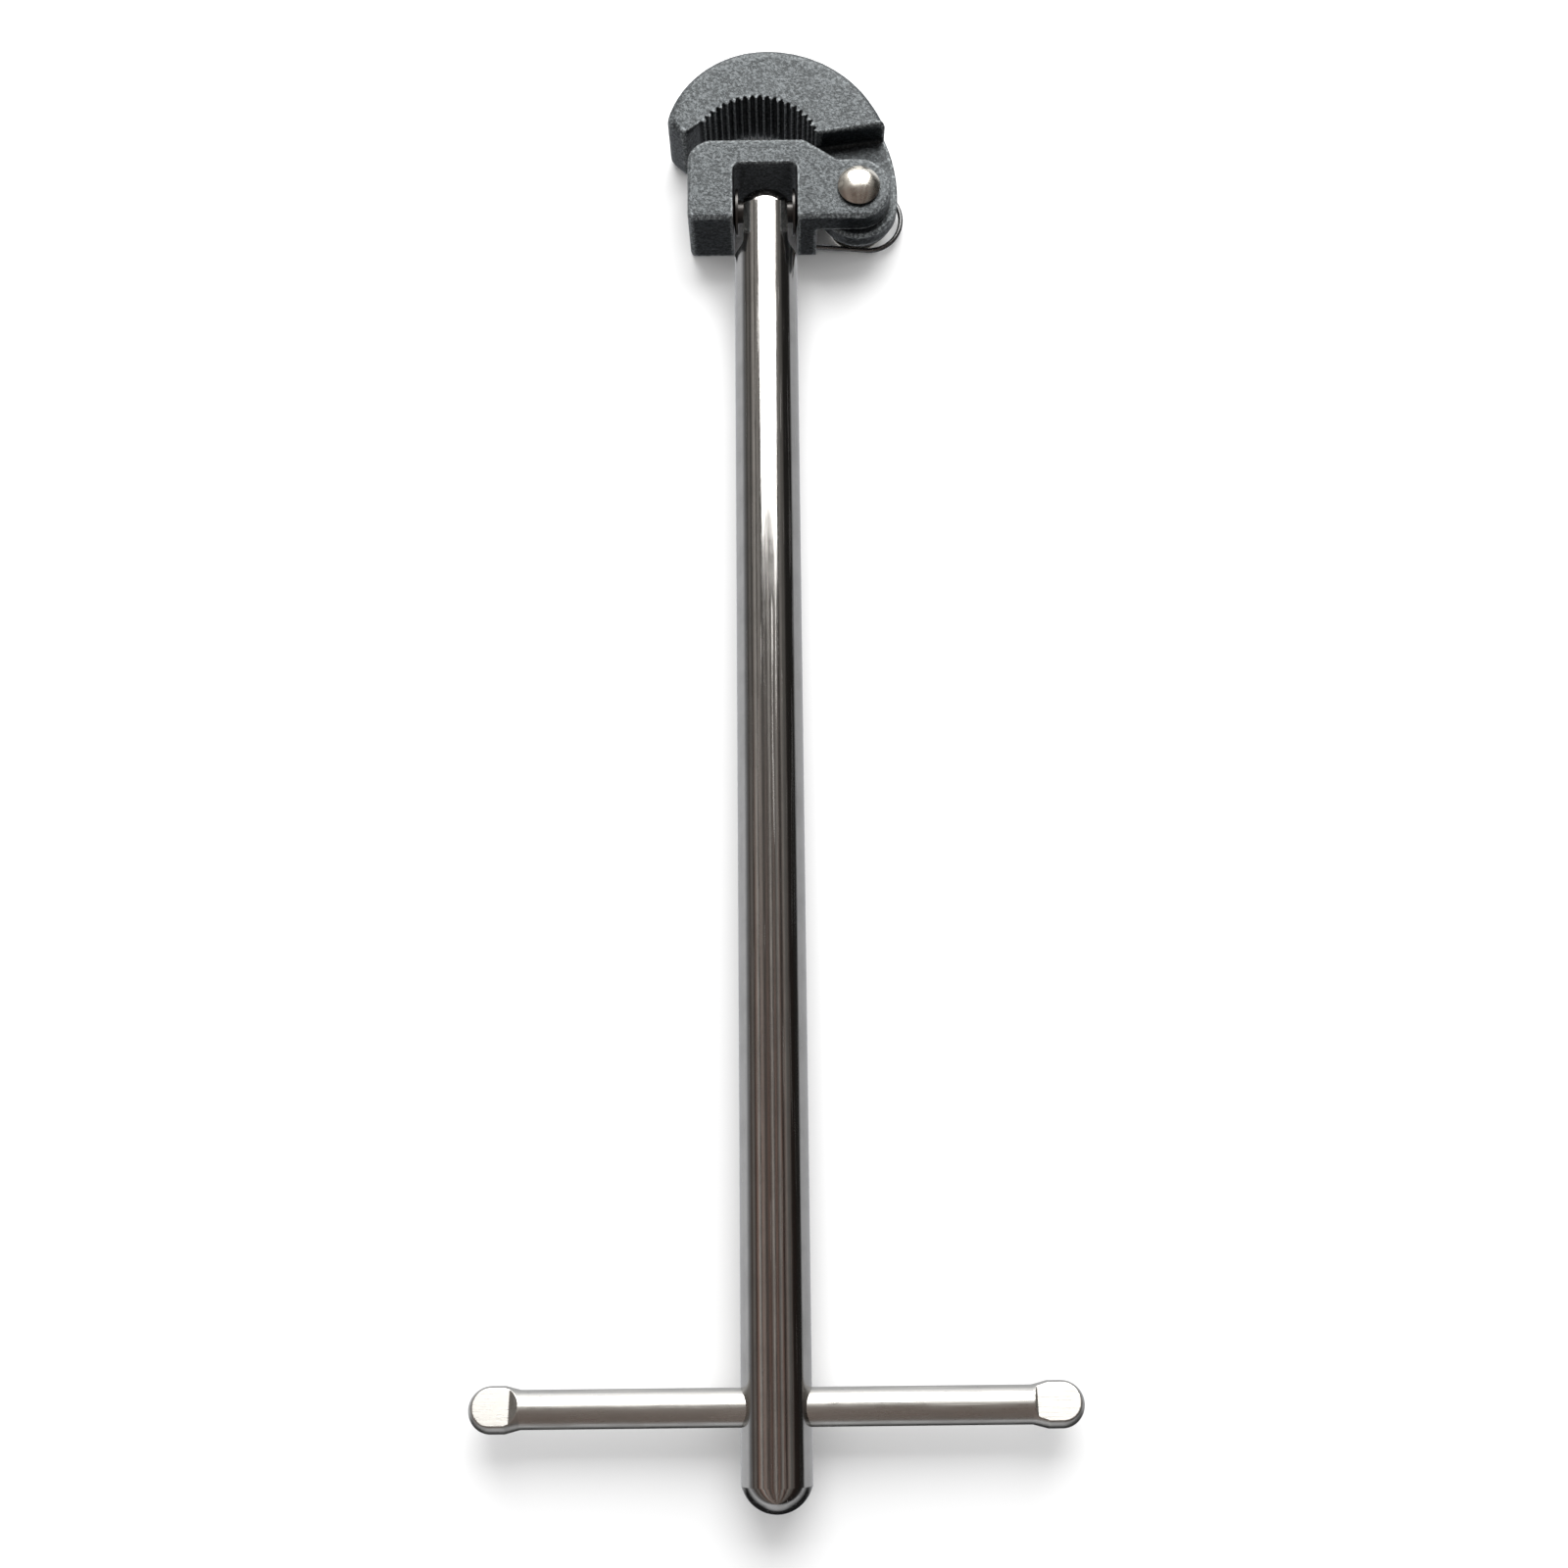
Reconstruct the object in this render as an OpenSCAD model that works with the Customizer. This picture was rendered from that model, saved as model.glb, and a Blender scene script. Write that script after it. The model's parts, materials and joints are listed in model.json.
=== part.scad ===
// Basin wrench: a long shaft with a sliding bar at its butt end and a tilting head
// whose sprung jaw closes on a nut against the anvil face of the head body.
// It lies on its back: the shaft runs along Y with the head towards +Y, the sliding
// bar runs along X, and Z is up from the surface that the head's back rests on.

/* [Shaft] */
// Diameter of the round shaft
shaft_d = 12.5; // [11:0.5:14.5]
// Distance from the head's hinge axis to the axis of the sliding bar
reach = 231.5; // [120:0.5:400]
// Distance from the axis of the sliding bar to the butt end
butt_l = 17.7; // [12:0.1:40]
// Height of the rounded ends of the shaft
dome_h = 4.8; // [2:0.1:5]
// Thickness of the tongue that enters the head
tongue_w = 8.8; // [7:0.1:10]
// Length of the tongue past the hinge axis
tongue_tip = 4.3; // [3.8:0.1:5.2]
// Radius that the cutter leaves at the end of the tongue's flats
runout_r = 1.8; // [0.4:0.1:3]

/* [Sliding bar] */
// Diameter of the sliding bar
bar_d = 6.7; // [5:0.1:8.2]
// Length of the sliding bar over its swollen ends
bar_l = 107.6; // [70:0.1:200]
// Diameter of the swollen ends
bar_end_d = 8.1; // [7:0.1:10]
// Length of each swollen end, with its taper
bar_end_l = 9.2; // [8:0.1:14]
// Length of the taper from a swollen end to the bar
bar_taper_l = 2.7; // [1:0.1:3.5]
// Thickness of a swollen end across its two pressed flats
bar_flat_t = 4.8; // [3:0.1:6]
// Length of the pressed flats
bar_flat_l = 8.9; // [5:0.1:9]

/* [Head body] */
// Thickness of the head, front to back
head_t = 15.6; // [14:0.1:20]
// Distance from the hinge axis to the left side of the head
head_left = 15.5; // [13.5:0.1:20]
// Distance from the hinge axis up to the anvil face
anvil_h = 12; // [11:0.1:15]
// Distance from the hinge axis to the right end of the anvil face
anvil_right = 7.9; // [5:0.1:9]
// Distance from the hinge axis down to the bottom face
head_drop = 5.5; // [5:0.1:7]
// Radius of the shoulder at the left end of the anvil face
shoulder_r = 4.9; // [1:0.1:5]
// Radius at both ends of the slope between the anvil face and the ear
slope_r = 2; // [0.5:0.1:3]
// Radius of the head's bottom left corner
heel_r = 1.2; // [0.2:0.1:3]
// Thickness of the right leg, between the slot and the jaw's recess
leg_t = 3.9; // [3:0.1:6]
// Thickness of the ear that carries the jaw
ear_t = 5.4; // [3:0.1:6]
// Length of the flat on top of the ear
ear_flat_l = 4.2; // [1:0.1:5]
// Radius in the top corners of the slot for the tongue
slot_r = 1.5; // [0.4:0.1:3]

/* [Jaw] */
// Distance of the jaw's pivot to the right of the hinge axis
pivot_x = 18.7; // [17:0.1:24]
// Distance of the jaw's pivot above the hinge axis
pivot_y = 1; // [0:0.1:2]
// Radius of the toothed bite, at half the height of its teeth
bite_r = 13.2; // [11:0.1:14]
// Place of the bite's centre to the left of the hinge axis
bite_left = 1.6; // [0:0.1:3]
// Place of the bite's centre above the hinge axis
bite_up = 8.2; // [7:0.1:10]
// Number of teeth
teeth = 19; // [8:1:30]
// Height of the teeth
tooth_h = 0.9; // [0.3:0.1:1.5]
// Radius of the hook's outside over its left half
crown_r = 20.7; // [20:0.1:23]
// Place of the crown's centre to the right of the hinge axis
crown_right = 0.4; // [0:0.1:1]
// Place of the crown's centre above the hinge axis
crown_up = 11.9; // [11:0.1:14]
// Radius of the hook's outside over its right half
back_r = 24.6; // [22:0.1:27]
// Radius of the lug around the jaw's pivot
lug_r = 8; // [5.5:0.1:8]
// Thickness of the lug
lug_t = 4.1; // [3:0.1:5]
// Length of the plain land between the last tooth and the tip
land_l = 4.7; // [2:0.1:5]
// Radius of the hook's nose
nose_r = 2.4; // [0.5:0.1:2.5]

/* [Rivet, pin and washers] */
// Diameter of the rivet's shank
rivet_d = 5.5; // [4:0.1:6.5]
// Diameter of the rivet's domed head
rivet_head_d = 8.4; // [7:0.1:11]
// Height of the dome on the rivet's head
rivet_dome_h = 1.8; // [1:0.1:3]
// Thickness of the rivet head's rim under the dome
rivet_rim_t = 0.4; // [0.2:0.1:1]
// Height of the collar that lifts the rivet's head off the ear
rivet_collar_h = 0.3; // [0.2:0.1:1]
// Diameter of the rivet's collar
rivet_collar_d = 6.6; // [6.6:0.1:7]
// Thickness of the rivet's peened tail
tail_h = 0.4; // [0.3:0.1:0.8]
// Diameter of the rivet's peened tail
tail_d = 8; // [7:0.1:10]
// Diameter of the washer under the tail
tail_washer_d = 11.6; // [9:0.1:12]
// Thickness of the washer under the tail
tail_washer_t = 0.5; // [0.4:0.1:0.8]
// Diameter of the hinge pin
pin_d = 4.5; // [3:0.1:5]
// Depth of the pin's left end below the head's side
pin_inset = 0.3; // [0.1:0.1:1]
// Diameter of the cupped spring washers beside the tongue
cup_d = 9.2; // [7:0.1:10.5]
// Thickness of the sheet of the cupped washers
cup_t = 0.5; // [0.3:0.1:0.8]
// Height by which a washer is cupped
cup_rise = 0.45; // [0.1:0.05:0.8]

/* [Spring] */
// Diameter of the spring's wire
wire_d = 1; // [0.8:0.1:1.2]
// Radius of the coil, to the middle of the wire
coil_r = 6.8; // [6:0.1:6.9]
// Sideways place of the front turn from the pivot
coil_front_dx = 0.5; // [0:0.1:1]
// Sideways place of the rear turn from the pivot, as the coil leans
coil_rear_dx = 3.3; // [0.5:0.1:3.5]
// Place of the coil's centre above the pivot
coil_dy = 0.5; // [0.3:0.1:0.8]
// Depth of each hole that a leg of the spring hooks into
leg_hole_l = 2.6; // [1.5:0.1:3]

/* [Clearances] */
// Radial clearance of a turning or sliding shaft in its hole
run_gap = 0.08; // [0.03:0.01:0.1]
// Radial interference of a pressed pin in its hole
press = 0.01; // [0.01:0.01:0.02]
// Gap between parts that turn side by side
side_gap = 0.2; // [0.1:0.05:0.4]
// Gap between the tilted shaft and the top of the slot
tilt_gap = 0.35; // [0.3:0.05:0.6]
// Gap on each side between the tongue and its cupped washer
side_play = 1.1; // [0.3:0.1:1.5]
// Gap between the tilted head and the shoulder of the shaft
shoulder_gap = 2.2; // [0.5:0.1:4]
// Radial gap around a leg of the spring in its hole
leg_gap = 0.1; // [0.05:0.05:0.2]
// Gap between the end of a leg of the spring and the bottom of its hole
leg_end_gap = 0.4; // [0.1:0.1:0.6]

/* [Hidden] */
$fn = 96;
// How far a cut reaches past the face that it starts from
over = 1;

// Depths are measured from the hinge axis, which lies halfway through the head
front = head_t / 2;
back = -head_t / 2;
ear_back = front - ear_t;
lug_front = ear_back - side_gap;
lug_back = lug_front - lug_t;
// Gap where a part that turns could lean on its neighbour
lean_gap = 1.5 * side_gap;

// The tongue, the washers beside it and the slot that holds them
slot_w = tongue_w + 2 * (cup_t + cup_rise + side_play);
slot_top = shaft_d / 2 + tilt_gap;
tongue_l = max(front, head_drop) + shoulder_gap;
flat_depth = (shaft_d - tongue_w) / 2;
flat_runout = min(runout_r, flat_depth);
recess_x = slot_w / 2 + leg_t;
pin_end = recess_x - over;

// The jaw's outline, made of arcs that run smoothly into each other. The angles are
// measured from +X: where the back, the bite and the nose's straight flanks start and end
pivot = [pivot_x, pivot_y];
bite_c = [-bite_left, bite_up];
crown_c = [crown_right, crown_up];
back_c = [crown_c.x, crown_up + crown_r - back_r];
back_end_a = 35;
back_dir = [cos(back_end_a), sin(back_end_a)];
flank_k = (back_c - pivot) * back_dir;
flank_r = ((back_c - pivot) * (back_c - pivot) + 2 * back_r * flank_k + back_r * back_r - lug_r * lug_r)
    / (2 * (flank_k + back_r - lug_r));
flank_c = back_c + (back_r - flank_r) * back_dir;
bite_first_a = 21;
bite_last_a = 146;
land_a = 215;
nose_a = 138;
step_start = bite_c + bite_r * [cos(bite_first_a), sin(bite_first_a)];
step_a = 8;
land_start = bite_c + bite_r * [cos(bite_last_a), sin(bite_last_a)];
tip = land_start + land_l * [cos(land_a), sin(land_a)];
tip_r = 0.8;
step_end = ray_to_circle(step_start, step_a, flank_c, flank_r);
step_end_a = atan2(step_end.y - flank_c.y, step_end.x - flank_c.x);
nose = ray_to_circle(tip, nose_a, crown_c, crown_r);
// Angle of the crown that is left free for the nose's rounding
nose_room_a = 8;
nose_end_a = atan2(nose.y - crown_c.y, nose.x - crown_c.x) - nose_room_a;
// Angle by which the lug's outline reaches into the hook's
lug_lap_a = 3;
ear_r = head_drop + pivot_y;
lug_left = recess_x + lean_gap;

// The spring, from its front leg in the jaw to its rear leg in the head body
wire_r = wire_d / 2;
front_leg_a = 45;
rear_leg_a = -95;
coil_sweep = front_leg_a - rear_leg_a + 360;
coil_front_z = lug_back - lean_gap - wire_r;
coil_rear_z = back + tail_h + tail_washer_t + side_gap / 2 + wire_r;
coil_front = pivot + [coil_front_dx, coil_dy];
coil_rear = pivot + [coil_rear_dx, coil_dy];
front_leg_from = coil_front + coil_r * [cos(front_leg_a), sin(front_leg_a)];
front_leg_dir = [-sin(front_leg_a), cos(front_leg_a)];
rear_leg_from = coil_rear + coil_r * [cos(rear_leg_a), sin(rear_leg_a)];
rear_leg_dir = [sin(rear_leg_a), -cos(rear_leg_a)];
// Distance along the front leg to the jaw's step, and along the rear leg to the recess wall
step_normal = [-sin(step_a), cos(step_a)];
front_leg_free = ((step_start - front_leg_from) * step_normal) / (front_leg_dir * step_normal);
rear_leg_free = (recess_x - rear_leg_from.x) / rear_leg_dir.x;
leg_grip = leg_hole_l - leg_end_gap;

// The origin: the middle of the whole tool, on the surface that it lies on
crown_top = crown_up + crown_r;
tool_origin = [0, (reach + butt_l - crown_top) / 2, head_t / 2];

function unit(v) = v / norm(v);

// Points of an arc about c from angle a0 to angle a1
function arc(c, r, a0, a1) =
    let (n = max(1, ceil(abs(a1 - a0) / 3)))
    [for (i = [0:n]) let (a = a0 + (a1 - a0) * i / n) c + r * [cos(a), sin(a)]];

// The far point where a ray from p at angle a meets the circle of radius r about c
function ray_to_circle(p, a, c, r) =
    let (d = [cos(a), sin(a)], m = p - c, b = m * d)
    p + d * (sqrt(b * b - m * m + r * r) - b);

// Points that round the corner at p between its two neighbours with radius r
function rounded_corner(before, p, after, r) =
    let (
        u = unit(before - p),
        v = unit(after - p),
        half = acos(u * v) / 2,
        c = p + unit(u + v) * r / sin(half),
        d0 = p + u * r / tan(half) - c,
        d1 = p + v * r / tan(half) - c,
        a0 = atan2(d0.y, d0.x),
        turn = atan2(d0.x * d1.y - d0.y * d1.x, d0 * d1)
    )
    r == 0 ? [p] : arc(c, r, a0, a0 + turn);

// An outline from corners that are each given as [x, y, radius]
function rounded_outline(corners) =
    let (n = len(corners), xy = [for (k = corners) [k.x, k.y]])
    [for (i = [0:n - 1]) each rounded_corner(xy[(i + n - 1) % n], xy[i], xy[(i + 1) % n], corners[i].z)];

// Everything is drawn about the hinge axis and then moved to the tool's origin
module placed() {
    translate(tool_origin) children();
}

// A flat shape given thickness between two depths
module slab(z0, z1) {
    translate([0, 0, z0]) linear_extrude(z1 - z0) children();
}

// A cylinder along X
module bore_x(r, x0, x1) {
    translate([x0, 0, 0]) rotate([0, 90, 0]) cylinder(r = r, h = x1 - x0);
}

// Half of the shaft's outline: a straight side between two rounded ends
module shaft_profile() {
    shaft_r = shaft_d / 2;
    cap_r = (shaft_r * shaft_r + dome_h * dome_h) / (2 * dome_h);
    length = tongue_tip + reach + butt_l;
    intersection() {
        square([shaft_r, length]);
        union() {
            translate([0, cap_r]) circle(cap_r);
            translate([0, length - cap_r]) circle(cap_r);
            translate([0, cap_r]) square([shaft_d, length - 2 * cap_r]);
        }
    }
}

// What the cutter removes beside the tongue, on the right
module tongue_cut() {
    slab(-shaft_d, shaft_d) {
        translate([tongue_w / 2, flat_runout - tongue_l]) square([shaft_d, tongue_l + 2 * tongue_tip]);
        translate([tongue_w / 2 + flat_runout, -tongue_l]) square([shaft_d, tongue_l]);
        translate([tongue_w / 2 + flat_runout, flat_runout - tongue_l]) circle(flat_runout);
    }
}

module shaft() {
    color("silver") placed() difference() {
        translate([0, -reach - butt_l, 0]) rotate([-90, 0, 0]) rotate_extrude() shaft_profile();
        tongue_cut();
        mirror([1, 0, 0]) tongue_cut();
        bore_x(pin_d / 2 + run_gap, -shaft_d, shaft_d);
        translate([0, -reach, 0]) bore_x(bar_d / 2 + run_gap, -shaft_d, shaft_d);
    }
}

// Half of the outline of one half of the sliding bar
module bar_profile() {
    end_r = bar_end_d / 2;
    swell = bar_l / 2 - bar_end_l;
    square([bar_d / 2, swell + bar_taper_l]);
    polygon([[0, swell], [bar_d / 2, swell], [end_r, swell + bar_taper_l], [0, swell + bar_taper_l]]);
    translate([0, swell + bar_taper_l]) square([end_r, bar_end_l - bar_taper_l - end_r]);
    intersection() {
        translate([0, bar_l / 2 - end_r]) circle(end_r);
        square([end_r, bar_l]);
    }
}

module sliding_bar() {
    color("gainsboro") placed() translate([0, -reach, 0]) difference() {
        for (turn = [90, -90]) rotate([0, turn, 0]) rotate_extrude() bar_profile();
        for (end = [-1, 1], side = [-1, 1])
            translate([end * (bar_l - bar_flat_l + over) / 2, 0, side * (bar_flat_t + bar_end_d) / 2])
                cube([bar_flat_l + over, 2 * bar_end_d, bar_end_d], center = true);
    }
}

module head_outline() {
    polygon(rounded_outline([
        [-head_left, -head_drop, heel_r],
        [pivot.x, -head_drop, 0],
        [pivot.x, pivot.y + ear_r, 0],
        [pivot.x - ear_flat_l, pivot.y + ear_r, slope_r],
        [anvil_right, anvil_h, slope_r],
        [-head_left, anvil_h, shoulder_r]
    ]));
    translate(pivot) circle(ear_r);
}

module slot_outline() {
    polygon(rounded_outline([
        [-slot_w / 2, -head_drop - over, 0],
        [slot_w / 2, -head_drop - over, 0],
        [slot_w / 2, slot_top, slot_r],
        [-slot_w / 2, slot_top, slot_r]
    ]));
}

// A hole along a leg of the spring, from a little before the wall that the leg enters
module leg_hole(from, dir, free, z) {
    start = from + (free - over) * dir;
    translate([start.x, start.y, z])
        rotate([0, 90, atan2(dir.y, dir.x)])
            cylinder(r = wire_r + leg_gap, h = over + leg_hole_l, $fn = 32);
}

module head_body() {
    color("dimgray") placed() difference() {
        slab(back, front) head_outline();
        slab(back - over, front + over) slot_outline();
        slab(back - over, ear_back)
            translate([recess_x, -2 * head_drop]) square([2 * pivot_x, 2 * anvil_h + 2 * head_drop]);
        bore_x(pin_d / 2 - press, -head_left - over, pin_end);
        translate([pivot.x, pivot.y, 0]) cylinder(r = rivet_d / 2 - press, h = head_t);
        leg_hole(rear_leg_from, rear_leg_dir, rear_leg_free, coil_rear_z);
    }
}

// The saw-edged inner line of the hook, from its right end to its last tooth
bite_line = [for (i = [0:2 * teeth])
    let (a = bite_first_a + (bite_last_a - bite_first_a) * i / (2 * teeth))
    bite_c + (bite_r + (i % 2 == 0 ? 0.5 : -0.5) * tooth_h) * [cos(a), sin(a)]];

module hook_outline() {
    nose_after = crown_c + crown_r * [cos(nose_end_a), sin(nose_end_a)];
    polygon(concat(
        arc(flank_c, flank_r, step_end_a, back_end_a),
        arc(back_c, back_r, back_end_a, 90),
        arc(crown_c, crown_r, 90, nose_end_a),
        rounded_corner(nose_after, nose, tip, nose_r),
        rounded_corner(nose, tip, land_start, tip_r),
        [for (i = [2 * teeth:-1:0]) bite_line[i]]
    ));
}

// The lug and the neck that joins it to the hook
module lug_outline() {
    lug_end_a = atan2(pivot.y - flank_c.y, pivot.x - flank_c.x);
    polygon(concat(
        [[lug_left, pivot.y], step_start, [step_start.x + over, step_start.y + over]],
        arc(flank_c, flank_r, step_end_a + lug_lap_a, lug_end_a),
        [pivot]
    ));
    translate(pivot) circle(lug_r);
}

module jaw() {
    color("dimgray") placed() difference() {
        union() {
            slab(back, front) hook_outline();
            slab(lug_back, lug_front) intersection() {
                lug_outline();
                translate([lug_left, -head_drop * 2]) square([2 * pivot_x, 2 * crown_top]);
            }
        }
        translate([pivot.x, pivot.y, back]) cylinder(r = rivet_d / 2 + run_gap, h = head_t);
        leg_hole(front_leg_from, front_leg_dir, front_leg_free, coil_front_z);
    }
}

module rivet_dome() {
    rim_r = rivet_head_d / 2;
    cap_r = (rim_r * rim_r + rivet_dome_h * rivet_dome_h) / (2 * rivet_dome_h);
    intersection() {
        translate([0, 0, rivet_dome_h - cap_r]) sphere(cap_r);
        cylinder(r = rim_r + over, h = rivet_dome_h + over);
    }
}

module jaw_rivet() {
    rim_z = front + rivet_collar_h;
    color("silver") placed() translate([pivot.x, pivot.y, 0]) {
        translate([0, 0, back]) cylinder(d = tail_d, h = tail_h);
        translate([0, 0, back]) cylinder(d = rivet_d, h = rim_z - back);
        translate([0, 0, front]) cylinder(d = rivet_collar_d, h = rivet_collar_h);
        translate([0, 0, rim_z]) cylinder(d = rivet_head_d, h = rivet_rim_t);
        translate([0, 0, rim_z + rivet_rim_t]) rivet_dome();
    }
}

module rivet_washer() {
    color("gray") placed() translate([pivot.x, pivot.y, back + tail_h]) difference() {
        cylinder(d = tail_washer_d, h = tail_washer_t);
        translate([0, 0, -over]) cylinder(r = rivet_d / 2 + run_gap, h = tail_washer_t + 2 * over);
    }
}

// The spring's path: the front leg, the leaning coil and the rear leg
coil_steps = 40;
coil_path = [for (i = [0:coil_steps])
    let (
        t = i / coil_steps,
        a = front_leg_a - coil_sweep * t,
        c = coil_front + (coil_rear - coil_front) * t,
        z = coil_front_z + (coil_rear_z - coil_front_z) * t
    )
    [c.x + coil_r * cos(a), c.y + coil_r * sin(a), z]];
front_leg_tip = front_leg_from + (front_leg_free + leg_grip) * front_leg_dir;
rear_leg_tip = rear_leg_from + (rear_leg_free + leg_grip) * rear_leg_dir;
spring_path = concat(
    [[front_leg_tip.x, front_leg_tip.y, coil_front_z]],
    coil_path,
    [[rear_leg_tip.x, rear_leg_tip.y, coil_rear_z]]
);

// A round wire swept along a path that stays close to level
module wire(path, r, sides = 10) {
    n = len(path);
    rings = [for (i = [0:n - 1])
        let (
            along = unit(path[min(i + 1, n - 1)] - path[max(i - 1, 0)]),
            side = unit(cross(along, [0, 0, 1])),
            up = cross(side, along)
        )
        for (k = [0:sides - 1])
            let (a = 360 * k / sides)
            path[i] + r * (side * cos(a) + up * sin(a))];
    walls = [for (i = [0:n - 2], k = [0:sides - 1])
        let (j = (k + 1) % sides)
        each [
            [i * sides + k, i * sides + j, (i + 1) * sides + k],
            [i * sides + j, (i + 1) * sides + j, (i + 1) * sides + k]
        ]];
    first_cap = [for (k = [sides - 1:-1:0]) k];
    last_cap = [for (k = [0:sides - 1]) (n - 1) * sides + k];
    polyhedron(rings, concat(walls, [first_cap, last_cap]));
}

module jaw_spring() {
    color("slategray") placed() wire(spring_path, wire_r);
}

module hinge_pin() {
    color("silver") placed() bore_x(pin_d / 2, pin_inset - head_left, pin_end);
}

// A cupped washer on the right wall of the slot, with its rim towards the tongue
module cup_washer() {
    hole_r = pin_d / 2 + run_gap;
    rim_r = cup_d / 2;
    translate([slot_w / 2, 0, 0]) rotate([0, -90, 0]) rotate_extrude()
        polygon([[hole_r, 0], [rim_r, cup_rise], [rim_r, cup_rise + cup_t], [hole_r, cup_t]]);
}

module cup_washer_left() {
    color("lightgray") placed() mirror([1, 0, 0]) cup_washer();
}

module cup_washer_right() {
    color("lightgray") placed() cup_washer();
}

shaft();
sliding_bar();
head_body();
jaw();
jaw_rivet();
rivet_washer();
jaw_spring();
hinge_pin();
cup_washer_left();
cup_washer_right();
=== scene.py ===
"""Basin wrench: a polished shaft with a sliding bar, and a cast head with a sprung toothed jaw."""

import json
import math

import bmesh
import bpy
import numpy as np
from bpy.props import (
    FloatProperty,
    FloatVectorProperty,
    IntProperty,
    PointerProperty,
)
from mathutils import Matrix, Vector


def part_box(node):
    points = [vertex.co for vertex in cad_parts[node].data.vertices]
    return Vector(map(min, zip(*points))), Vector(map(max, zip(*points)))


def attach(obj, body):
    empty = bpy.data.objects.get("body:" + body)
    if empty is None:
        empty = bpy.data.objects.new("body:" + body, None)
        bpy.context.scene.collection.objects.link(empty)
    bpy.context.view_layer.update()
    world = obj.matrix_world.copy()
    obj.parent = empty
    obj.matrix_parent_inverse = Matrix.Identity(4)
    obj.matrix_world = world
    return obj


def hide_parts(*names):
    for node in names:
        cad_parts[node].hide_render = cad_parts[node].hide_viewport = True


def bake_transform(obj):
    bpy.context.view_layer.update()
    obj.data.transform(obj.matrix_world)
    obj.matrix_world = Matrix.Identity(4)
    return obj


bl_info = {
    "name": "Basin Wrench",
    "version": (1, 0, 0),
    "blender": (4, 5, 0),
    "location": "View3D > Sidebar > Basin Wrench",
    "description": "Builds a basin wrench with a tilting head, a sprung jaw and a sliding bar",
    "category": "Object",
}

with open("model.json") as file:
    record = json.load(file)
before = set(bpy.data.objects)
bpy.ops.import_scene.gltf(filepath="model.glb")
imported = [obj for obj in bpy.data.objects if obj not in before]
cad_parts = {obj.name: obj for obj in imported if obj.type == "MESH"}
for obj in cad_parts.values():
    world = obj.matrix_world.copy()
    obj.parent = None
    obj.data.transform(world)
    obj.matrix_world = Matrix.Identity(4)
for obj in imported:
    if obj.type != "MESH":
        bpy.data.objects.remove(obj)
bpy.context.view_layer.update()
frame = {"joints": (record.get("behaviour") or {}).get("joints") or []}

MM = 0.001
JOINTS = {joint["name"]: joint for joint in frame["joints"]}
HINGE = Vector(JOINTS["head_tilt"]["pos_m"])
PIVOT = Vector(JOINTS["jaw_pivot"]["pos_m"])


def node_size(name):
    """A CAD node's size in millimetres, along X, Y and Z."""
    low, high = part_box(name)
    return (high - low) / MM


def node_low(name):
    """A CAD node's lowest corner in millimetres from the hinge axis."""
    return (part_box(name)[0] - HINGE) / MM


def node_high(name):
    """A CAD node's highest corner in millimetres from the hinge axis."""
    return (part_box(name)[1] - HINGE) / MM


# Places in millimetres, measured from the hinge axis as the frame gives them
FRONT = node_high("head_body").z
BACK = node_low("head_body").z
PIVOT_AT = Vector(((PIVOT - HINGE) / MM)[:2])
BAR_AT = (node_low("sliding_bar") + node_high("sliding_bar")) / 2
BUTT = node_low("shaft").y
TONGUE_TIP = node_high("shaft").y
SHAFT_R = node_size("shaft").x / 2
CROWN_TOP = node_high("jaw").y
HEAD_LEFT = node_low("head_body").x
HEAD_DROP = node_low("head_body").y
ANVIL = node_high("head_body").y

# Gaps between pieces in millimetres: around a shaft in its hole, between pieces that turn side
# by side, and where a turning piece could lean on its neighbour
RUN_GAP = 0.08
SIDE_GAP = 0.2
LEAN_GAP = 0.3


# Settings that a user would change


def length(name, about, value, low=0.0):
    """A property that holds a length in millimetres."""
    return FloatProperty(name=name, description=about, default=value, min=low, precision=2)


def colour(name, about, value):
    """A property that holds a colour."""
    return FloatVectorProperty(
        name=name, description=about, default=value, size=3, min=0, max=1, subtype="COLOR"
    )


class ShaftSettings(bpy.types.PropertyGroup):
    """Sizes in millimetres and colour of the shaft."""

    dome_height: length("Dome height", "Height of the rounded ends", 4.8)
    tongue_width: length("Tongue width", "Thickness of the tongue in the head", 8.8)
    shoulder: length("Shoulder", "Distance from the hinge axis to the tongue's shoulder", 10.0)
    runout: length("Runout", "Radius that the cutter leaves at the shoulder", 1.8)
    pin_bore: length("Pin bore", "Diameter of the hole for the hinge pin", 4.66)
    bar_bore: length("Bar bore", "Diameter of the hole for the sliding bar", 6.86)
    edge_break: length("Edge break", "Width of the softened edges", 0.14)
    steel: colour("Steel", "Colour of the polished plating", (0.62, 0.60, 0.575))


class BarSettings(bpy.types.PropertyGroup):
    """Sizes in millimetres and colour of the sliding bar."""

    diameter: length("Diameter", "Diameter of the bar", 6.7)
    end_diameter: length("End diameter", "Diameter of the swollen ends", 8.1)
    end_length: length("End length", "Length of a swollen end with its taper", 9.2)
    taper: length("Taper", "Length of the taper", 2.7)
    flat: length("Flat", "Thickness across the pressed flats", 4.8)
    flat_length: length("Flat length", "Length of the pressed flats", 8.9)
    flat_turn: FloatProperty(
        name="Flat turn", description="Degrees by which the flats face the head", default=15.0
    )
    left_ramp: length("Left ramp", "Length of the ramp into the left flats", 1.5)
    right_ramp: length("Right ramp", "Length of the ramp into the right flats", 0.45)
    steel: colour("Steel", "Colour of the satin nickel", (0.70, 0.68, 0.64))


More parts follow.
